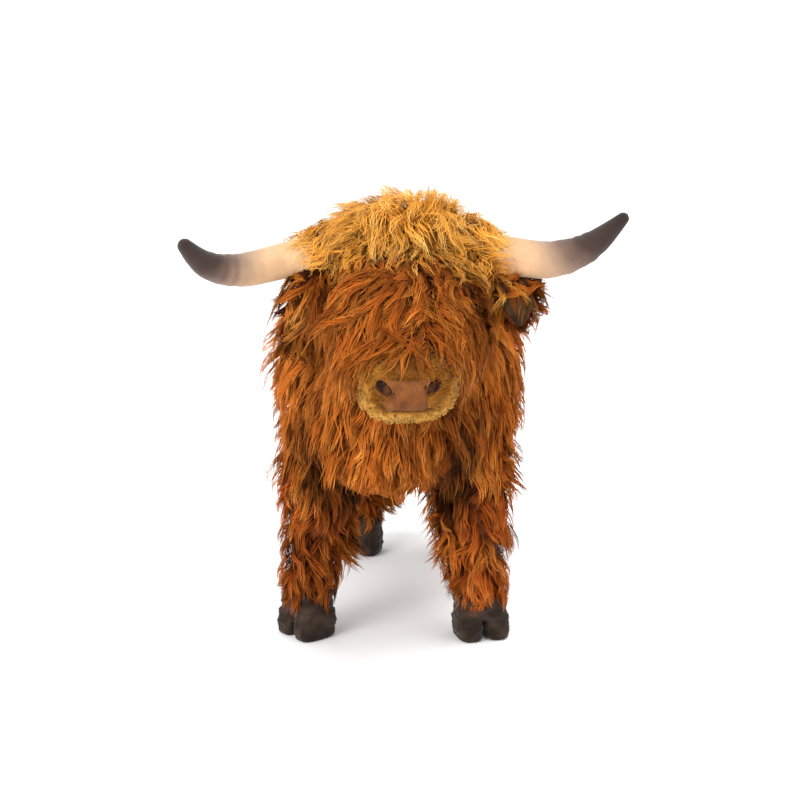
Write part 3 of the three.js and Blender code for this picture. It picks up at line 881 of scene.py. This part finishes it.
def gold_at(places):
    """How golden the coat is: the topknot is, and it fades into the face's rust over the brow."""
    x, y, z = to_head(places).T
    edge = 0.498 - 0.018 * smoothstep(0.035, 0.07, abs(x)) + 0.006 * sway_fine(places)
    ahead_of_neck = smoothstep(-0.02, -0.06, y)
    return smoothstep(edge - 0.008, edge + 0.012, z) * ahead_of_neck


def coat_material():
    """The painted shades of the pile, with fine streaks along each strand."""
    shader = Shader("long_pile", 0.7, Specular_IOR_Level=0.03)
    fibre = shader.attribute("fibre", "Vector")
    stretch = shader.add("ShaderNodeMapping", {"Vector": fibre, "Scale": (4.5, 1.2, 1)})
    streak = shader.noise(1, 2, place=stretch.outputs["Vector"])
    tint = shader.ramp(streak, (0.3, (0.55, 0.5, 0.44)), (0.5, 0.95), (0.7, (1.32, 1.34, 1.36)))
    colour = shader.times(shader.attribute("coat"), tint)
    return shader.finish(colour, (streak, 0.3, 0.0004), rough=(streak, 0.55, 0.75))


def skin_material():
    shader = Shader("pile_backing", 0.9, Specular_IOR_Level=0.1, Sheen_Weight=0.1)
    cloud = shader.noise(60, 4, 0.6)
    colour = shader.times(shader.attribute("shade"), shader.ramp(cloud, (0.3, 0.6), (0.7, 1.15)))
    return shader.finish(colour, (shader.knit(900), 0.5, 0.0008), (cloud, 0.4, 0.003), rough=(cloud, 0.8, 1.0))


def crowding(places, name):
    """The trunk's locks stand closest on the chest and shoulders and furthest apart under the belly,
    and the legs' stand closest over the feet."""
    x, y, z = (places - ORIGIN).T
    if name == "legs":
        return 1 + 0.7 * smoothstep(0.13, 0.08, z)
    if name == "trunk":
        return 1 + 0.9 * smoothstep(0.06, -0.06, y) - 0.35 * smoothstep(0.24, 0.2, z)
    return 1


# Tufts that stand out from the coat: each one's place and direction in the body's frame, its number
# of locks, its length and its hair.
TUFTS = [
    ((-0.066, 0.02, 0.122), (0.85, -0.15, -0.5), 16, 0.046, "rust"),
    ((-0.066, 0.03, 0.150), (0.7, -0.1, -0.7), 10, 0.040, "rust"),
    ((0.052, 0.02, 0.185), (-0.6, -0.15, -0.8), 14, 0.046, "rust"),
    ((0.055, 0.02, 0.160), (-0.65, -0.15, -0.75), 16, 0.044, "rust"),
    ((0.062, 0.02, 0.130), (-0.65, -0.15, -0.75), 16, 0.042, "rust"),
    ((0.072, 0.02, 0.100), (-0.6, -0.2, -0.8), 9, 0.030, "rust"),
    ((-0.058, 0.380, 0.086), (0.85, -0.3, -0.3), 20, 0.050, "rust"),
    ((-0.055, 0.380, 0.108), (0.85, -0.3, -0.5), 28, 0.058, "rust"),
    ((-0.054, 0.375, 0.132), (0.8, -0.3, -0.75), 28, 0.068, "rust"),
    ((-0.052, 0.365, 0.158), (0.65, -0.3, -0.9), 20, 0.070, "rust"),
    ((-0.149, 0.02, 0.395), (-0.75, -0.2, -0.6), 14, 0.040, "rust"),
    ((-0.148, 0.01, 0.350), (-0.7, -0.2, -0.7), 14, 0.040, "rust"),
    ((-0.146, 0.02, 0.300), (-0.6, -0.2, -0.8), 12, 0.038, "rust"),
    ((0.156, 0.01, 0.300), (0.6, -0.2, -0.8), 12, 0.038, "rust"),
    ((0.158, 0.01, 0.240), (0.7, -0.2, -0.7), 16, 0.042, "rust"),
    ((0.062, -0.08, 0.545), (0.2, -0.1, 1.0), 16, 0.038, "gold"),
]
TUFT_REACH = 0.014
EAR_TUFTS = {
    "left": [
        ((0.116, -0.11, 0.478), (0.05, -0.5, -1.0), 12, 0.048, "gold"),
        ((0.120, -0.11, 0.450), (0.05, -0.5, -1.0), 8, 0.042, "gold"),
        ((0.138, -0.13, 0.510), (1.0, -0.9, 0.45), 16, 0.048, "rust"),
        ((0.160, -0.12, 0.500), (0.9, -0.7, -0.1), 12, 0.034, "rust"),
        ((0.170, -0.09, 0.470), (0.9, -0.2, -0.6), 10, 0.028, "rust"),
    ],
    "right": [
        ((-0.075, -0.12, 0.478), (-0.25, -0.5, -1.0), 16, 0.075, "grey"),
        ((-0.065, -0.12, 0.476), (-0.1, -0.5, -1.0), 10, 0.066, "rust"),
        ((-0.095, -0.11, 0.470), (-0.45, -0.4, -1.0), 20, 0.070, "rust"),
        ((-0.085, -0.12, 0.445), (-0.2, -0.5, -1.0), 10, 0.060, "grey"),
        ((-0.100, -0.11, 0.430), (-0.3, -0.4, -1.0), 18, 0.060, "rust"),
        ((-0.092, -0.11, 0.412), (-0.2, -0.4, -1.0), 16, 0.055, "rust"),
        ((-0.080, -0.11, 0.412), (0.0, -0.4, -1.0), 12, 0.050, "rust"),
        ((-0.115, -0.10, 0.455), (-0.8, -0.3, -0.6), 12, 0.040, "rust"),
    ],
}


def tufts_of(tufts, surface, ground, seed, dark=0.12):
    """The strands of each tuft, rooted within TUFT_REACH of the surface's nearest place to it."""
    for number, (spot, way, locks, length, hair) in enumerate(tufts):
        golden, share = hair == "gold", {"rust": 0.0, "gold": 0.9, "grey": 0.4}[hair]
        style = Style(lambda body, normal, way=way: np.ones((len(body), 1)) * np.array(way), locks, 10, length,
                      0.0011 if golden else 0.0014, spread=0.004, swirl=0.3, wave=0.0022, jitter=0.35, rings=4,
                      clump=0.75, lift=0.5 if hair == "rust" else 0.3, stray=0.15, hold=0,
                      weight=0 if golden else 0.1, low=0.8, high=1.6, dark=0 if golden else dark, free=True,
                      palettes=(OLIVE, RUST) if hair == "grey" else (RUST, GOLD))
        away = np.linalg.norm(surface.points - ORIGIN - spot, axis=1)
        rows = np.nonzero(away[surface.first] < away.min() + TUFT_REACH)[0]
        rng = np.random.default_rng(seed + number)
        yield grow(style, surface, rows, ground, rng, lambda roots, share=share: np.full(len(roots), share))


def add_coat():
    bare = [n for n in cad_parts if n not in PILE_DEPTH and not n.startswith("eye")]
    ground = Ground(together((skin_points, halves(skin_faces)), cad_mesh(*bare)), cad_mesh(*PILE_DEPTH))
    surface = Surface(skin, skin_points, normals_of(skin_points, skin_faces))
    part, places = skin_part[surface.first], skin_points[surface.first]
    head = to_head(places)
    region = np.array([REGION_OF.get(p, "") for p in part])
    region[(part == "muzzle") & (head[:, 1] > BRIDGE_END) & (head[:, 2] > 0.385)] = "head"
    material = coat_material()
    for number, (name, style) in enumerate(STYLES.items()):
        rows = rows_of(name, region, head)
        rng = np.random.default_rng(SEED + 100 + number)
        strands = grow(style, surface, rows, ground, rng, gold_at, crowding(places[rows], name))
        add_strands(name, [strands], material)
    add_strands("tufts", tufts_of(TUFTS, surface, ground, SEED + 300), material)


# ---------------------------------------------------------------- stuffed pieces

def relaxed(points, faces, rounds):
    """Smooths a mesh without shrinking it."""
    pairs = edges_of(faces)
    for _ in range(rounds):
        points = smoothed(points, pairs, 1, 0.5)
        points = smoothed(points, pairs, 1, -0.52)
    return points


def soft_copy(nodes, voxel, rounds):
    """The shape of some CAD nodes as one fine mesh with softened edges."""
    points, faces = remeshed(*cad_mesh(*nodes), voxel)
    return relaxed(points, faces, rounds), faces


def paint(made, colours, *washes):
    """Paints a piece's vertices in one colour, or one each, then with washes of (colour, share)."""
    for colour, share in washes:
        colours = mixed(colours, colour, np.clip(share, 0, 1)[:, None])
    rgba = np.ones((len(made.data.vertices), 4))
    rgba[:, :3] = np.clip(colours, 0, 1)
    write(made.data.color_attributes.new("shade", "FLOAT_COLOR", "POINT").data, "color", rgba)


def velour(name, pile=1400, depth=0.0006, sheen=0.25, contrast=0.25):
    """Short brushed pile over the piece's own painted shades."""
    shader = Shader(name, 0.85, Specular_IOR_Level=0.15, Sheen_Weight=sheen, Sheen_Roughness=0.4)
    brushed, nap = shader.noise(90, 4, 0.6), shader.noise(pile, 3, 0.7)
    wear = shader.ramp(brushed, (0.3, 1 - contrast), (0.7, 1 + contrast * 0.6))
    tips = shader.ramp(nap, (0.35, (0.7, 0.68, 0.66)), (0.65, 1.15))
    colour = shader.times(shader.times(shader.attribute("shade"), wear), tips)
    return shader.finish(colour, (nap, 0.6, depth), (brushed, 0.3, 0.002), rough=(nap, 0.75, 1.0))


# The muzzle's shades; deep also paints the shadow under the face hair, and rim is a painted highlight.
MUZZLE_SHADES = {"deep": linear(78, 44, 12), "mid": linear(114, 68, 15), "rim": linear(160, 106, 34),
                 "lip": linear(186, 136, 62)}
MUZZLE_DARK = [linear(88, 50, 10), linear(122, 73, 17), linear(148, 94, 28)]
MUZZLE_PALE = [linear(148, 102, 36), linear(192, 140, 64), linear(218, 178, 104)]
NOSE_SHADES = {"deep": linear(70, 36, 15), "pale": linear(132, 78, 37)}
NOSTRIL_SHADES = {"deep": linear(32, 14, 7), "pale": linear(76, 40, 20)}
HOOF_SHADES = {"deep": linear(28, 19, 14), "mid": linear(46, 33, 26), "pale": linear(68, 53, 43)}
LINING_SHADES = {"deep": linear(58, 40, 25), "pale": linear(94, 68, 40)}
HORN_SHADES = [(0.0, linear(204, 166, 126)), (0.22, linear(196, 160, 124)), (0.38, linear(158, 131, 108)),
               (0.52, linear(106, 85, 75)), (0.66, linear(60, 46, 41)), (1.0, linear(38, 29, 26))]


MOUTH_HEIGHT = 0.348
MUZZLE_STYLE = Style(lie_of_muzzle, 2000, 3, 0.0050, 0.0009, spread=0.0014, clump=0.3, lift=0.35, weight=0.05,
                     swirl=0.4, jitter=0.35, wave=0.0002, rings=2, hold=0.3, low=0.4, high=1.0, vary=0.45,
                     palettes=(MUZZLE_DARK, MUZZLE_PALE))


def pale_of_muzzle(places):
    """0 on the field round the nose, about a half on the muzzle's rim, where it is a painted highlight of the pile
    catching light at the edge, 1 on the paler lower lip.
    """
    x, y, z = to_head(places).T
    rim = np.hypot(x / 0.054, np.minimum(z - 0.388, 0) / 0.058)
    pale = 0.62 * smoothstep(0.76, 0.96, rim) + 0.6 * smoothstep(MOUTH_HEIGHT + 0.002, MOUTH_HEIGHT - 0.008, z)
    return np.clip(pale + 0.1 * sway_fine(places), 0, 1) * smoothstep(-0.17, -0.2, y)


def add_muzzle():
    """Muzzle and lower lip in one, with the mouth as a crease under the nose that dies out to the sides."""
    points, faces = soft_copy(["muzzle", "chin"], 0.0022, 3)
    normals = normals_of(points, faces)
    x, y, z = to_head(points).T
    line = MOUTH_HEIGHT - 0.0005 + 1.5 * x ** 2
    crease = np.exp(-((z - line) / 0.0024) ** 2) * smoothstep(0.046, 0.022, abs(x)) * smoothstep(-0.22, -0.235, y)
    points = points + normals * (0.0006 * sway_fine(points) - 0.0035 * crease)[:, None]
    made = add_object("muzzle_cover", points, faces)
    unwrap(made)
    # The paler lower lip, and a painted highlight round the rim.
    pale = pale_of_muzzle(points)
    # Painted shadow under the face hair that hangs over the muzzle's top, and the dark seam along the mouth's
    # crease.
    top = np.clip(smoothstep(0.39, 0.41, z) + crease, 0, 1)
    paint(made, MUZZLE_SHADES["mid"], (MUZZLE_SHADES["rim"], pale * 2), (MUZZLE_SHADES["lip"], pale * 2 - 1),
          (MUZZLE_SHADES["deep"], top * 0.8))
    finish_piece(made, velour("muzzle_velour", sheen=0.12), ["muzzle", "chin"])

    nose, nose_faces = nose_shape(points, faces)
    blocked = tree_of(*together((nose, halves(nose_faces)), cad_mesh("nostril_left", "nostril_right")))
    ground = Ground((points, halves(faces)), room=0.0042)
    surface = Surface(made, points, normals)
    first = surface.first
    clear = distance(blocked, points[first]) > 0.0025
    rows = np.nonzero(clear & (y[first] < -0.185) & (crease[first] < 0.5))[0]
    rng = np.random.default_rng(SEED + 250)
    strands = grow(MUZZLE_STYLE, surface, rows, ground, rng, pale_of_muzzle)
    add_strands("muzzle", [strands], coat_material())
    return nose, nose_faces


def nose_shape(muzzle, muzzle_faces):
    """The nose panel with its lower corners drawn out and its top scooped, lying on the muzzle as before."""
    points, faces = soft_copy(["nose_panel"], 0.0012, 3)
    x, y, z = to_head(points).T
    high = (z - z.min()) / np.ptp(z)
    middle = (x.min() + x.max()) / 2
    out = np.abs(x - middle) / (np.ptp(x) / 2)
    left = np.interp(high, (0, 0.2, 0.36, 0.5, 0.75, 1), (-0.0042, -0.0052, -0.0046, 0, 0, -0.0024))
    right = np.interp(high, (0, 0.2, 0.35, 0.5, 0.75, 1), (-0.0024, -0.0010, 0.0016, -0.0006, 0.0018, 0.0058))
    move = np.where(x < middle, left, right) * np.minimum(out, 1) ** 1.5
    scoop = -0.0045 * (1 - np.minimum(out, 1) ** 2) * smoothstep(0.7, 1.0, high)
    tree = tree_of(muzzle, halves(muzzle_faces))
    place, normal, _ = nearest(tree, points)
    height = dot(points - place, normal)
    place, normal, _ = nearest(tree, points + field(move, 0, scoop) @ TURN.T)
    return relaxed(place + normal * height, faces, 2), faces


def add_nose(points, faces):
    made = add_object("nose_cover", points, faces)
    speckle = 0.4 + 0.12 * sway_fine(points) + 0.35 * smoothstep(0.355, 0.39, points[:, 2])
    paint(made, NOSE_SHADES["deep"], (NOSE_SHADES["pale"], speckle))
    finish_piece(made, velour("nose_suede", pile=620, depth=0.0009, sheen=0.1, contrast=0.15),
                 ["nose_panel"])
    material = velour("nostril_felt", pile=1500, depth=0.0005, sheen=0.1, contrast=0.2)
    for side in SIDES:
        points, faces = soft_copy([f"nostril_{side}"], 0.0012, 2)
        middle = points.mean(axis=0)
        head = to_head(points) - to_head(middle)
        inner = -head[:, 0] if side == "left" else head[:, 0]
        fold = smoothstep(-0.001, 0.004, inner - head[:, 2] * 0.3)
        made = add_object(f"nostril_{side}_lining", points, faces)
        paint(made, NOSTRIL_SHADES["deep"], (NOSTRIL_SHADES["pale"], fold))
        finish_piece(made, material, [f"nostril_{side}"])


def dart_of(foot, points):
    """The short sewn dart that runs up from the sole at the front inner corner of a front hoof."""
    if not foot.startswith("front"):
        return 0
    side = -1 if "right" in foot else 1
    middle = middle_of(f"toe_{foot}_inner")
    inward = unit((middle - middle_of(f"toe_{foot}_outer")) * np.array([1, 1, 0]))
    ahead = np.array([side * inward[1], -side * inward[0], 0])
    off = points - middle
    turn = np.arctan2(off @ inward, off @ ahead)
    return np.exp(-((turn - 0.42) / 0.07) ** 2) * smoothstep(0.017, 0.011, points[:, 2])


def filled_out(points, off):
    """Fills most of the groove round a foot between its toes and its cuff."""
    middle = (points.min(axis=0) + points.max(axis=0)) / 2
    x, y, z = (points - middle * np.array([1, 1, 0])).T
    turn, reach = np.arctan2(y, x), np.hypot(x, y)
    levels, half = [], 30
    for height in (0.022, 0.051):
        level = abs(z - height) < 0.003
        widest = np.zeros(2 * half)
        sector = ((turn[level] / math.pi + 1) * half).astype(int) % (2 * half)
        np.maximum.at(widest, sector, reach[level])
        for _ in range(3):
            widest = (np.roll(widest, 1) + 2 * widest + np.roll(widest, -1)) / 4
        at = ((np.arange(2 * half) + 0.5) / half - 1) * math.pi
        levels.append(np.interp(turn, at, widest, period=2 * math.pi))
    wanted = mixed(levels[0] - 0.001, levels[1] + 0.001, smoothstep(0.022, 0.051, z))
    share = smoothstep(0.028, 0.038, z) * smoothstep(0.060, 0.053, z) * smoothstep(0.72, 0.86, reach / wanted)
    share = share * smoothstep(0.001, 0.006, abs(off) + 0.006 * smoothstep(0.046, 0.052, z))
    grown = 1 + share * 0.85 * np.maximum(wanted / np.maximum(reach, 0.001) - 1, 0)
    return field(x * grown, y * grown, z) + middle * np.array([1, 1, 0])


def foot_shape(foot):
    """A foot's two toes and cuff as one mesh, the toes drawn a little apart for the cleft."""
    inner, outer = middle_of(f"toe_{foot}_inner"), middle_of(f"toe_{foot}_outer")
    apart = unit(outer - inner)
    shapes = [mesh_of(f"cuff_{foot}")]
    for which in ("inner", "outer"):
        points, faces = mesh_of(f"toe_{foot}_{which}")
        off = (points - (inner + outer) / 2) @ apart
        shapes.append((points + apart * (np.sign(off) * 0.0016 * np.exp(-abs(off) / 0.004))[:, None], faces))
    points, faces = remeshed(*together(*shapes), 0.0016)
    off = (points - (inner + outer) / 2) @ apart
    return relaxed(filled_out(points, off), faces, 6), faces


def add_hooves():
    material = velour("hoof_suede", pile=1100, depth=0.0006, sheen=0.15, contrast=0.3)
    wrinkle, fine = Ripple(0.03, SEED + 31), Ripple(0.009, SEED + 32)
    stretch = np.array([0.5, 0.5, 3.2])
    for foot in FEET:
        points, faces = foot_shape(foot)
        loose = smoothstep(0.004, 0.014, points[:, 2])
        creased = 0.7 * wrinkle(points * stretch)
        bulge = (creased + 0.5 * fine(points * stretch)) * loose - 2.5 * dart_of(foot, points)
        made = add_object(f"hoof_{foot}", points + normals_of(points, faces) * (bulge * 0.001)[:, None], faces)
        # Paler where the wrinkles bulge out and darker in their hollows, painted light and shade over random
        # mottling; darker towards the sole too.
        share = np.clip(0.5 + 0.25 * creased + 0.3 * sway_fine(points), 0, 1)
        darker_near_sole = smoothstep(0.012, 0.0, points[:, 2])
        paint(made, HOOF_SHADES["mid"], (HOOF_SHADES["pale"], share * 0.6),
              (HOOF_SHADES["deep"], darker_near_sole * 0.6 + (1 - share) * 0.5))
        nodes = [f"toe_{foot}_inner", f"toe_{foot}_outer", f"cuff_{foot}"]
        finish_piece(made, material, nodes)


def smooth_path(stops, count):
    """A Catmull-Rom curve through rows of values."""
    stops = np.array(stops, float)
    padded = np.vstack([2 * stops[0] - stops[1], stops, 2 * stops[-1] - stops[-2]])
    at = np.linspace(0, len(stops) - 1, count)
    low = np.minimum(at.astype(int), len(stops) - 2)
    t = (at - low)[:, None]
    a, b, c, d = (padded[low + k] for k in range(4))
    return 0.5 * (2 * b + (c - a) * t + (2 * a - 5 * b + 4 * c - d) * t ** 2 + (3 * b - a - 3 * c + d) * t ** 3)


# Each horn's middle line and radius in the head's own frame, in millimetres: x, y, z, radius.
HORN_STOPS = {
    "left": [(58, -90, 499, 20), (122, -100, 494.5, 21.5), (168, -110, 489, 21.2), (212, -126, 505, 16.4),
             (251, -136, 542, 5.5)],
    "right": [(-58, -90, 499, 20), (-122, -100, 491.5, 20.2), (-172, -122, 481.5, 18.8), (-210, -146, 488.5, 15.2),
              (-237, -160, 517, 6.6)],
}


def horn_material():
    shader = Shader("horn_velour", 0.9, Specular_IOR_Level=0.15, Sheen_Weight=0.2, Sheen_Roughness=0.5)
    cloud, nap = shader.noise(45, 4, 0.6), shader.noise(1600, 3, 0.7)
    mist = shader.ramp(cloud, (0.3, (0.86, 0.85, 0.84)), (0.7, (1.08, 1.07, 1.06)))
    tips = shader.ramp(nap, (0.35, (0.86, 0.85, 0.84)), (0.65, 1.08))
    colour = shader.times(shader.times(shader.attribute("shade"), mist), tips)
    return shader.finish(colour, (nap, 0.5, 0.0005), (cloud, 0.35, 0.002), rough=(nap, 0.8, 1.0))


def add_horns():
    material = horn_material()
    rings, sides = 150, 56
    creases = Ripple(0.035, SEED + 41)
    stops, shades = zip(*HORN_SHADES)
    t = np.linspace(0, 1, rings)
    turns = np.linspace(0, 2 * math.pi, sides, endpoint=False)
    for side in SIDES:
        path = smooth_path(HORN_STOPS[side], rings) * MM
        for _ in range(200):
            path[1:-1] = (path[:-2] + 2 * path[1:-1] + path[2:]) / 4
        line, radius = path[:, :3], path[:, 3]
        run = np.concatenate([[0], np.cumsum(np.linalg.norm(np.diff(line, axis=0), axis=1))])
        to_end = run[-1] - run
        # The horn's end is round: the last of the rows turn in over it.
        radius = radius * np.sqrt(np.clip(1 - (1 - np.clip(to_end / radius[-1], 0, 1)) ** 2, 0, 1))
        ahead = unit(np.gradient(line, axis=0))
        out = unit(np.cross(ahead, np.array([0, 1.0, 0])))
        level = np.cross(out, ahead)
        rim = out[:, None] * np.cos(turns)[None, :, None] + level[:, None] * np.sin(turns)[None, :, None]
        points = line[:, None] + rim * radius[:, None, None]
        # Sewn cloth: a seam along the underside and shallow creases round the inner bend.
        bend = np.exp(-((t - 0.62) / 0.16) ** 2)[:, None]
        seam = np.exp(-((np.cos(turns) + 1) / 0.02) ** 2)[None] * 0.0007
        ripple = creases((line[:, None] + rim * 0.004) * np.array([3.0, 1, 1])) * 0.0005 * bend
        points = points + rim * (ripple - seam)[..., None] * np.minimum(1, to_end / 0.01)[:, None, None]
        index = np.arange(rings * sides).reshape(rings, sides)
        faces = [(index[i, j], index[i, (j + 1) % sides], index[i + 1, (j + 1) % sides], index[i + 1, j])
                 for i in range(rings - 1) for j in range(sides)]
        faces += [tuple(index[0, ::-1]), tuple(index[-1])]
        made = add_object(f"horn_{side}_cover", from_head(points.reshape(-1, 3)), faces)
        under = 0.5 - 0.5 * rim[..., 2]
        share = t[:, None] - 0.10 * (under - 0.5) + 0.006 * creases(line[:, None] + rim * 0.02)
        share = np.clip((share - 0.24) / 0.76, 0, 1).ravel()
        paint(made, np.stack([np.interp(share, stops, levels) for levels in zip(*shades)], axis=1))
        finish_piece(made, material, [f"horn_{side}"])


def add_eyes():
    """Dark glass eyes with a raised clear front, set in the wells under the face hair."""
    shader = Shader("eye_glass", 0.06, Coat_Weight=1.0, Coat_Roughness=0.03)
    depth = shader.noise(160, 2)
    colour = shader.ramp(depth, (0.3, linear(24, 12, 6)), (0.7, linear(60, 30, 14)))
    glass = shader.finish(colour, (depth, 0.02, 0.0002))
    rows, columns = 22, 32
    # A ball whose front third stands a little proud, as a glass eye's does.
    angles = np.linspace(0, math.pi, rows)
    bulge = 1 + 0.05 * np.exp(-(angles / 0.6) ** 2)
    turns = np.linspace(0, 2 * math.pi, columns, endpoint=False)
    for side in SIDES:
        low, high = (np.array(c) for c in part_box(f"eye_{side}"))
        middle, radius = (low + high) / 2, (high - low).min() / 2
        outward = unit(np.array([0.72 if side == "left" else -0.72, -0.66, 0.12]) @ TURN.T)
        across = unit(np.cross(outward, [0, 0, 1.0]))
        up = np.cross(across, outward)
        points = [middle + outward * radius * bulge[0]]
        for angle, size in zip(angles[1:-1], bulge[1:-1]):
            for turn in turns:
                aside = across * math.cos(turn) + up * math.sin(turn)
                points.append(middle + (outward * math.cos(angle) + aside * math.sin(angle)) * radius * size)
        points.append(middle - outward * radius)
        faces = [(0, 1 + (j + 1) % columns, 1 + j) for j in range(columns)]
        for i in range(rows - 3):
            a, b = 1 + i * columns, 1 + (i + 1) * columns
            faces += [(a + j, a + (j + 1) % columns, b + (j + 1) % columns, b + j) for j in range(columns)]
        last, start = len(points) - 1, 1 + (rows - 3) * columns
        faces += [(last, start + j, start + (j + 1) % columns) for j in range(columns)]
        finish_piece(add_object(f"eye_{side}_glass", points, faces), glass, [f"eye_{side}"])


LINING_SIZE = {"left": 0.95, "right": 0.62}
# How much darker each ear's hair is; the left ear's is made lighter, a painted light on hair that lies in shade
# under the horn.
EAR_TONE_AND_PAINTED_LIGHT = {"left": -0.4, "right": 0.06}
EAR_FALL = {"left": 0.1, "right": 0.7}
# How far from the lining the ear's own hair starts, and how high up the lining the hair over it does.
LINING_EDGE = {"left": 0.006, "right": 0.0035}
INNER_START = {"left": 0.65, "right": 0.3}
# Hair over the lining: a little on the left ear, a curtain of it on the right one.
INNER_STYLES = {
    side: Style(lie_of_ear, locks, 7, 0.052, 0.0012, spread=0.0035, clump=0.7, swirl=0.3, jitter=0.3,
                wave=0.0024, stray=0.2, rings=4, hold=0.1, lift=0.5, low=0.3, high=1.1, weight=0.4,
                palettes=(OLIVE, RUST))
    for side, locks in (("left", 10), ("right", 60))
}


def ear_style(middle, fall, dark):
    """The ear's own hair, which runs out all round its edge and down."""
    def lie(body, normal):
        return unit(body + ORIGIN - middle) * 0.9 + np.array([0, 0, -fall])
    return Style(lie, 220, 8, 0.034, 0.0014, spread=0.0035, clump=0.6, swirl=0.4, jitter=0.35, wave=0.0018,
                 stray=0.2, rings=4, hold=0.1, lift=0.5, low=0.5, high=1.2, weight=0.3 * fall, dark=dark)


def add_ears():
    lining = velour("ear_felt", pile=1300, depth=0.0007, sheen=0.15, contrast=0.35)
    backing, material = skin_material(), coat_material()
    for number, side in enumerate(SIDES):
        rng = np.random.default_rng(SEED + 200 + number)
        points, faces = soft_copy([f"ear_{side}"], 0.003, 2)
        depth = np.minimum(0.003, thickness(points, faces) * 0.25)
        points = points - normals_of(points, faces) * smoothed(depth, edges_of(faces), 4)
        ear = add_object(f"ear_{side}_skin", points, faces)
        paint(ear, SKIN_RUST)
        unwrap(ear)
        finish_piece(ear, backing, [f"ear_{side}"])

        cloth, cloth_faces = soft_copy([f"ear_lining_{side}"], 0.002, 3)
        hung = cloth.mean(axis=0) + np.array([0, 0, 0.3]) * np.ptp(cloth[:, 2])
        cloth = hung + (cloth - hung) * LINING_SIZE[side]
        made = add_object(f"ear_{side}_lining", cloth, cloth_faces)
        paint(made, LINING_SHADES["deep"], (LINING_SHADES["pale"], 0.5 + 0.4 * sway_fine(cloth)))
        unwrap(made)
        finish_piece(made, lining, [f"ear_lining_{side}"])

        cloth_mesh = cloth, halves(cloth_faces)
        ground = Ground(together((points, halves(faces)), cloth_mesh), room=0.013)
        surface = Surface(ear, points, normals_of(points, faces))
        gap = distance(tree_of(*cloth_mesh), points[surface.triangles].mean(axis=1))
        style = ear_style(cloth.mean(axis=0), EAR_FALL[side], EAR_TONE_AND_PAINTED_LIGHT[side])
        inside = Surface(made, cloth, normals_of(cloth, cloth_faces))
        height = to_head(cloth[inside.first])[:, 2]
        covered = np.nonzero(height > np.quantile(height, INNER_START[side]))[0]
        add_strands(f"ear_{side}", [
            grow(style, surface, np.nonzero(gap > LINING_EDGE[side])[0], ground, rng, gold_at_ear),
            *tufts_of(EAR_TUFTS[side], surface, ground, SEED + 340 + 10 * number, EAR_TONE_AND_PAINTED_LIGHT[side]),
            grow(INNER_STYLES[side], inside, covered, ground, rng, rust_in_ear),
        ], material, undersides=True)


def rust_in_ear(places):
    return np.clip(0.5 + 0.9 * patches_fine(places), 0, 1)


def gold_at_ear(places):
    """The ear's fringe is golden along its inner edge, rust on its back."""
    x, y, z = to_head(places).T
    golden = np.clip(0.9 - abs(x - 0.108) / 0.02, 0, 0.8) + np.clip(0.4 - abs(x + 0.108) / 0.04, 0, 0.3)
    return golden * smoothstep(0.475, 0.455, z)


paint(skin, SKIN_RUST, (SKIN_GOLD, gold_at(skin_points)))
finish_piece(skin, skin_material(), list(PILE_DEPTH))
add_coat()
add_nose(*add_muzzle())
add_hooves()
add_horns()
add_eyes()
add_ears()
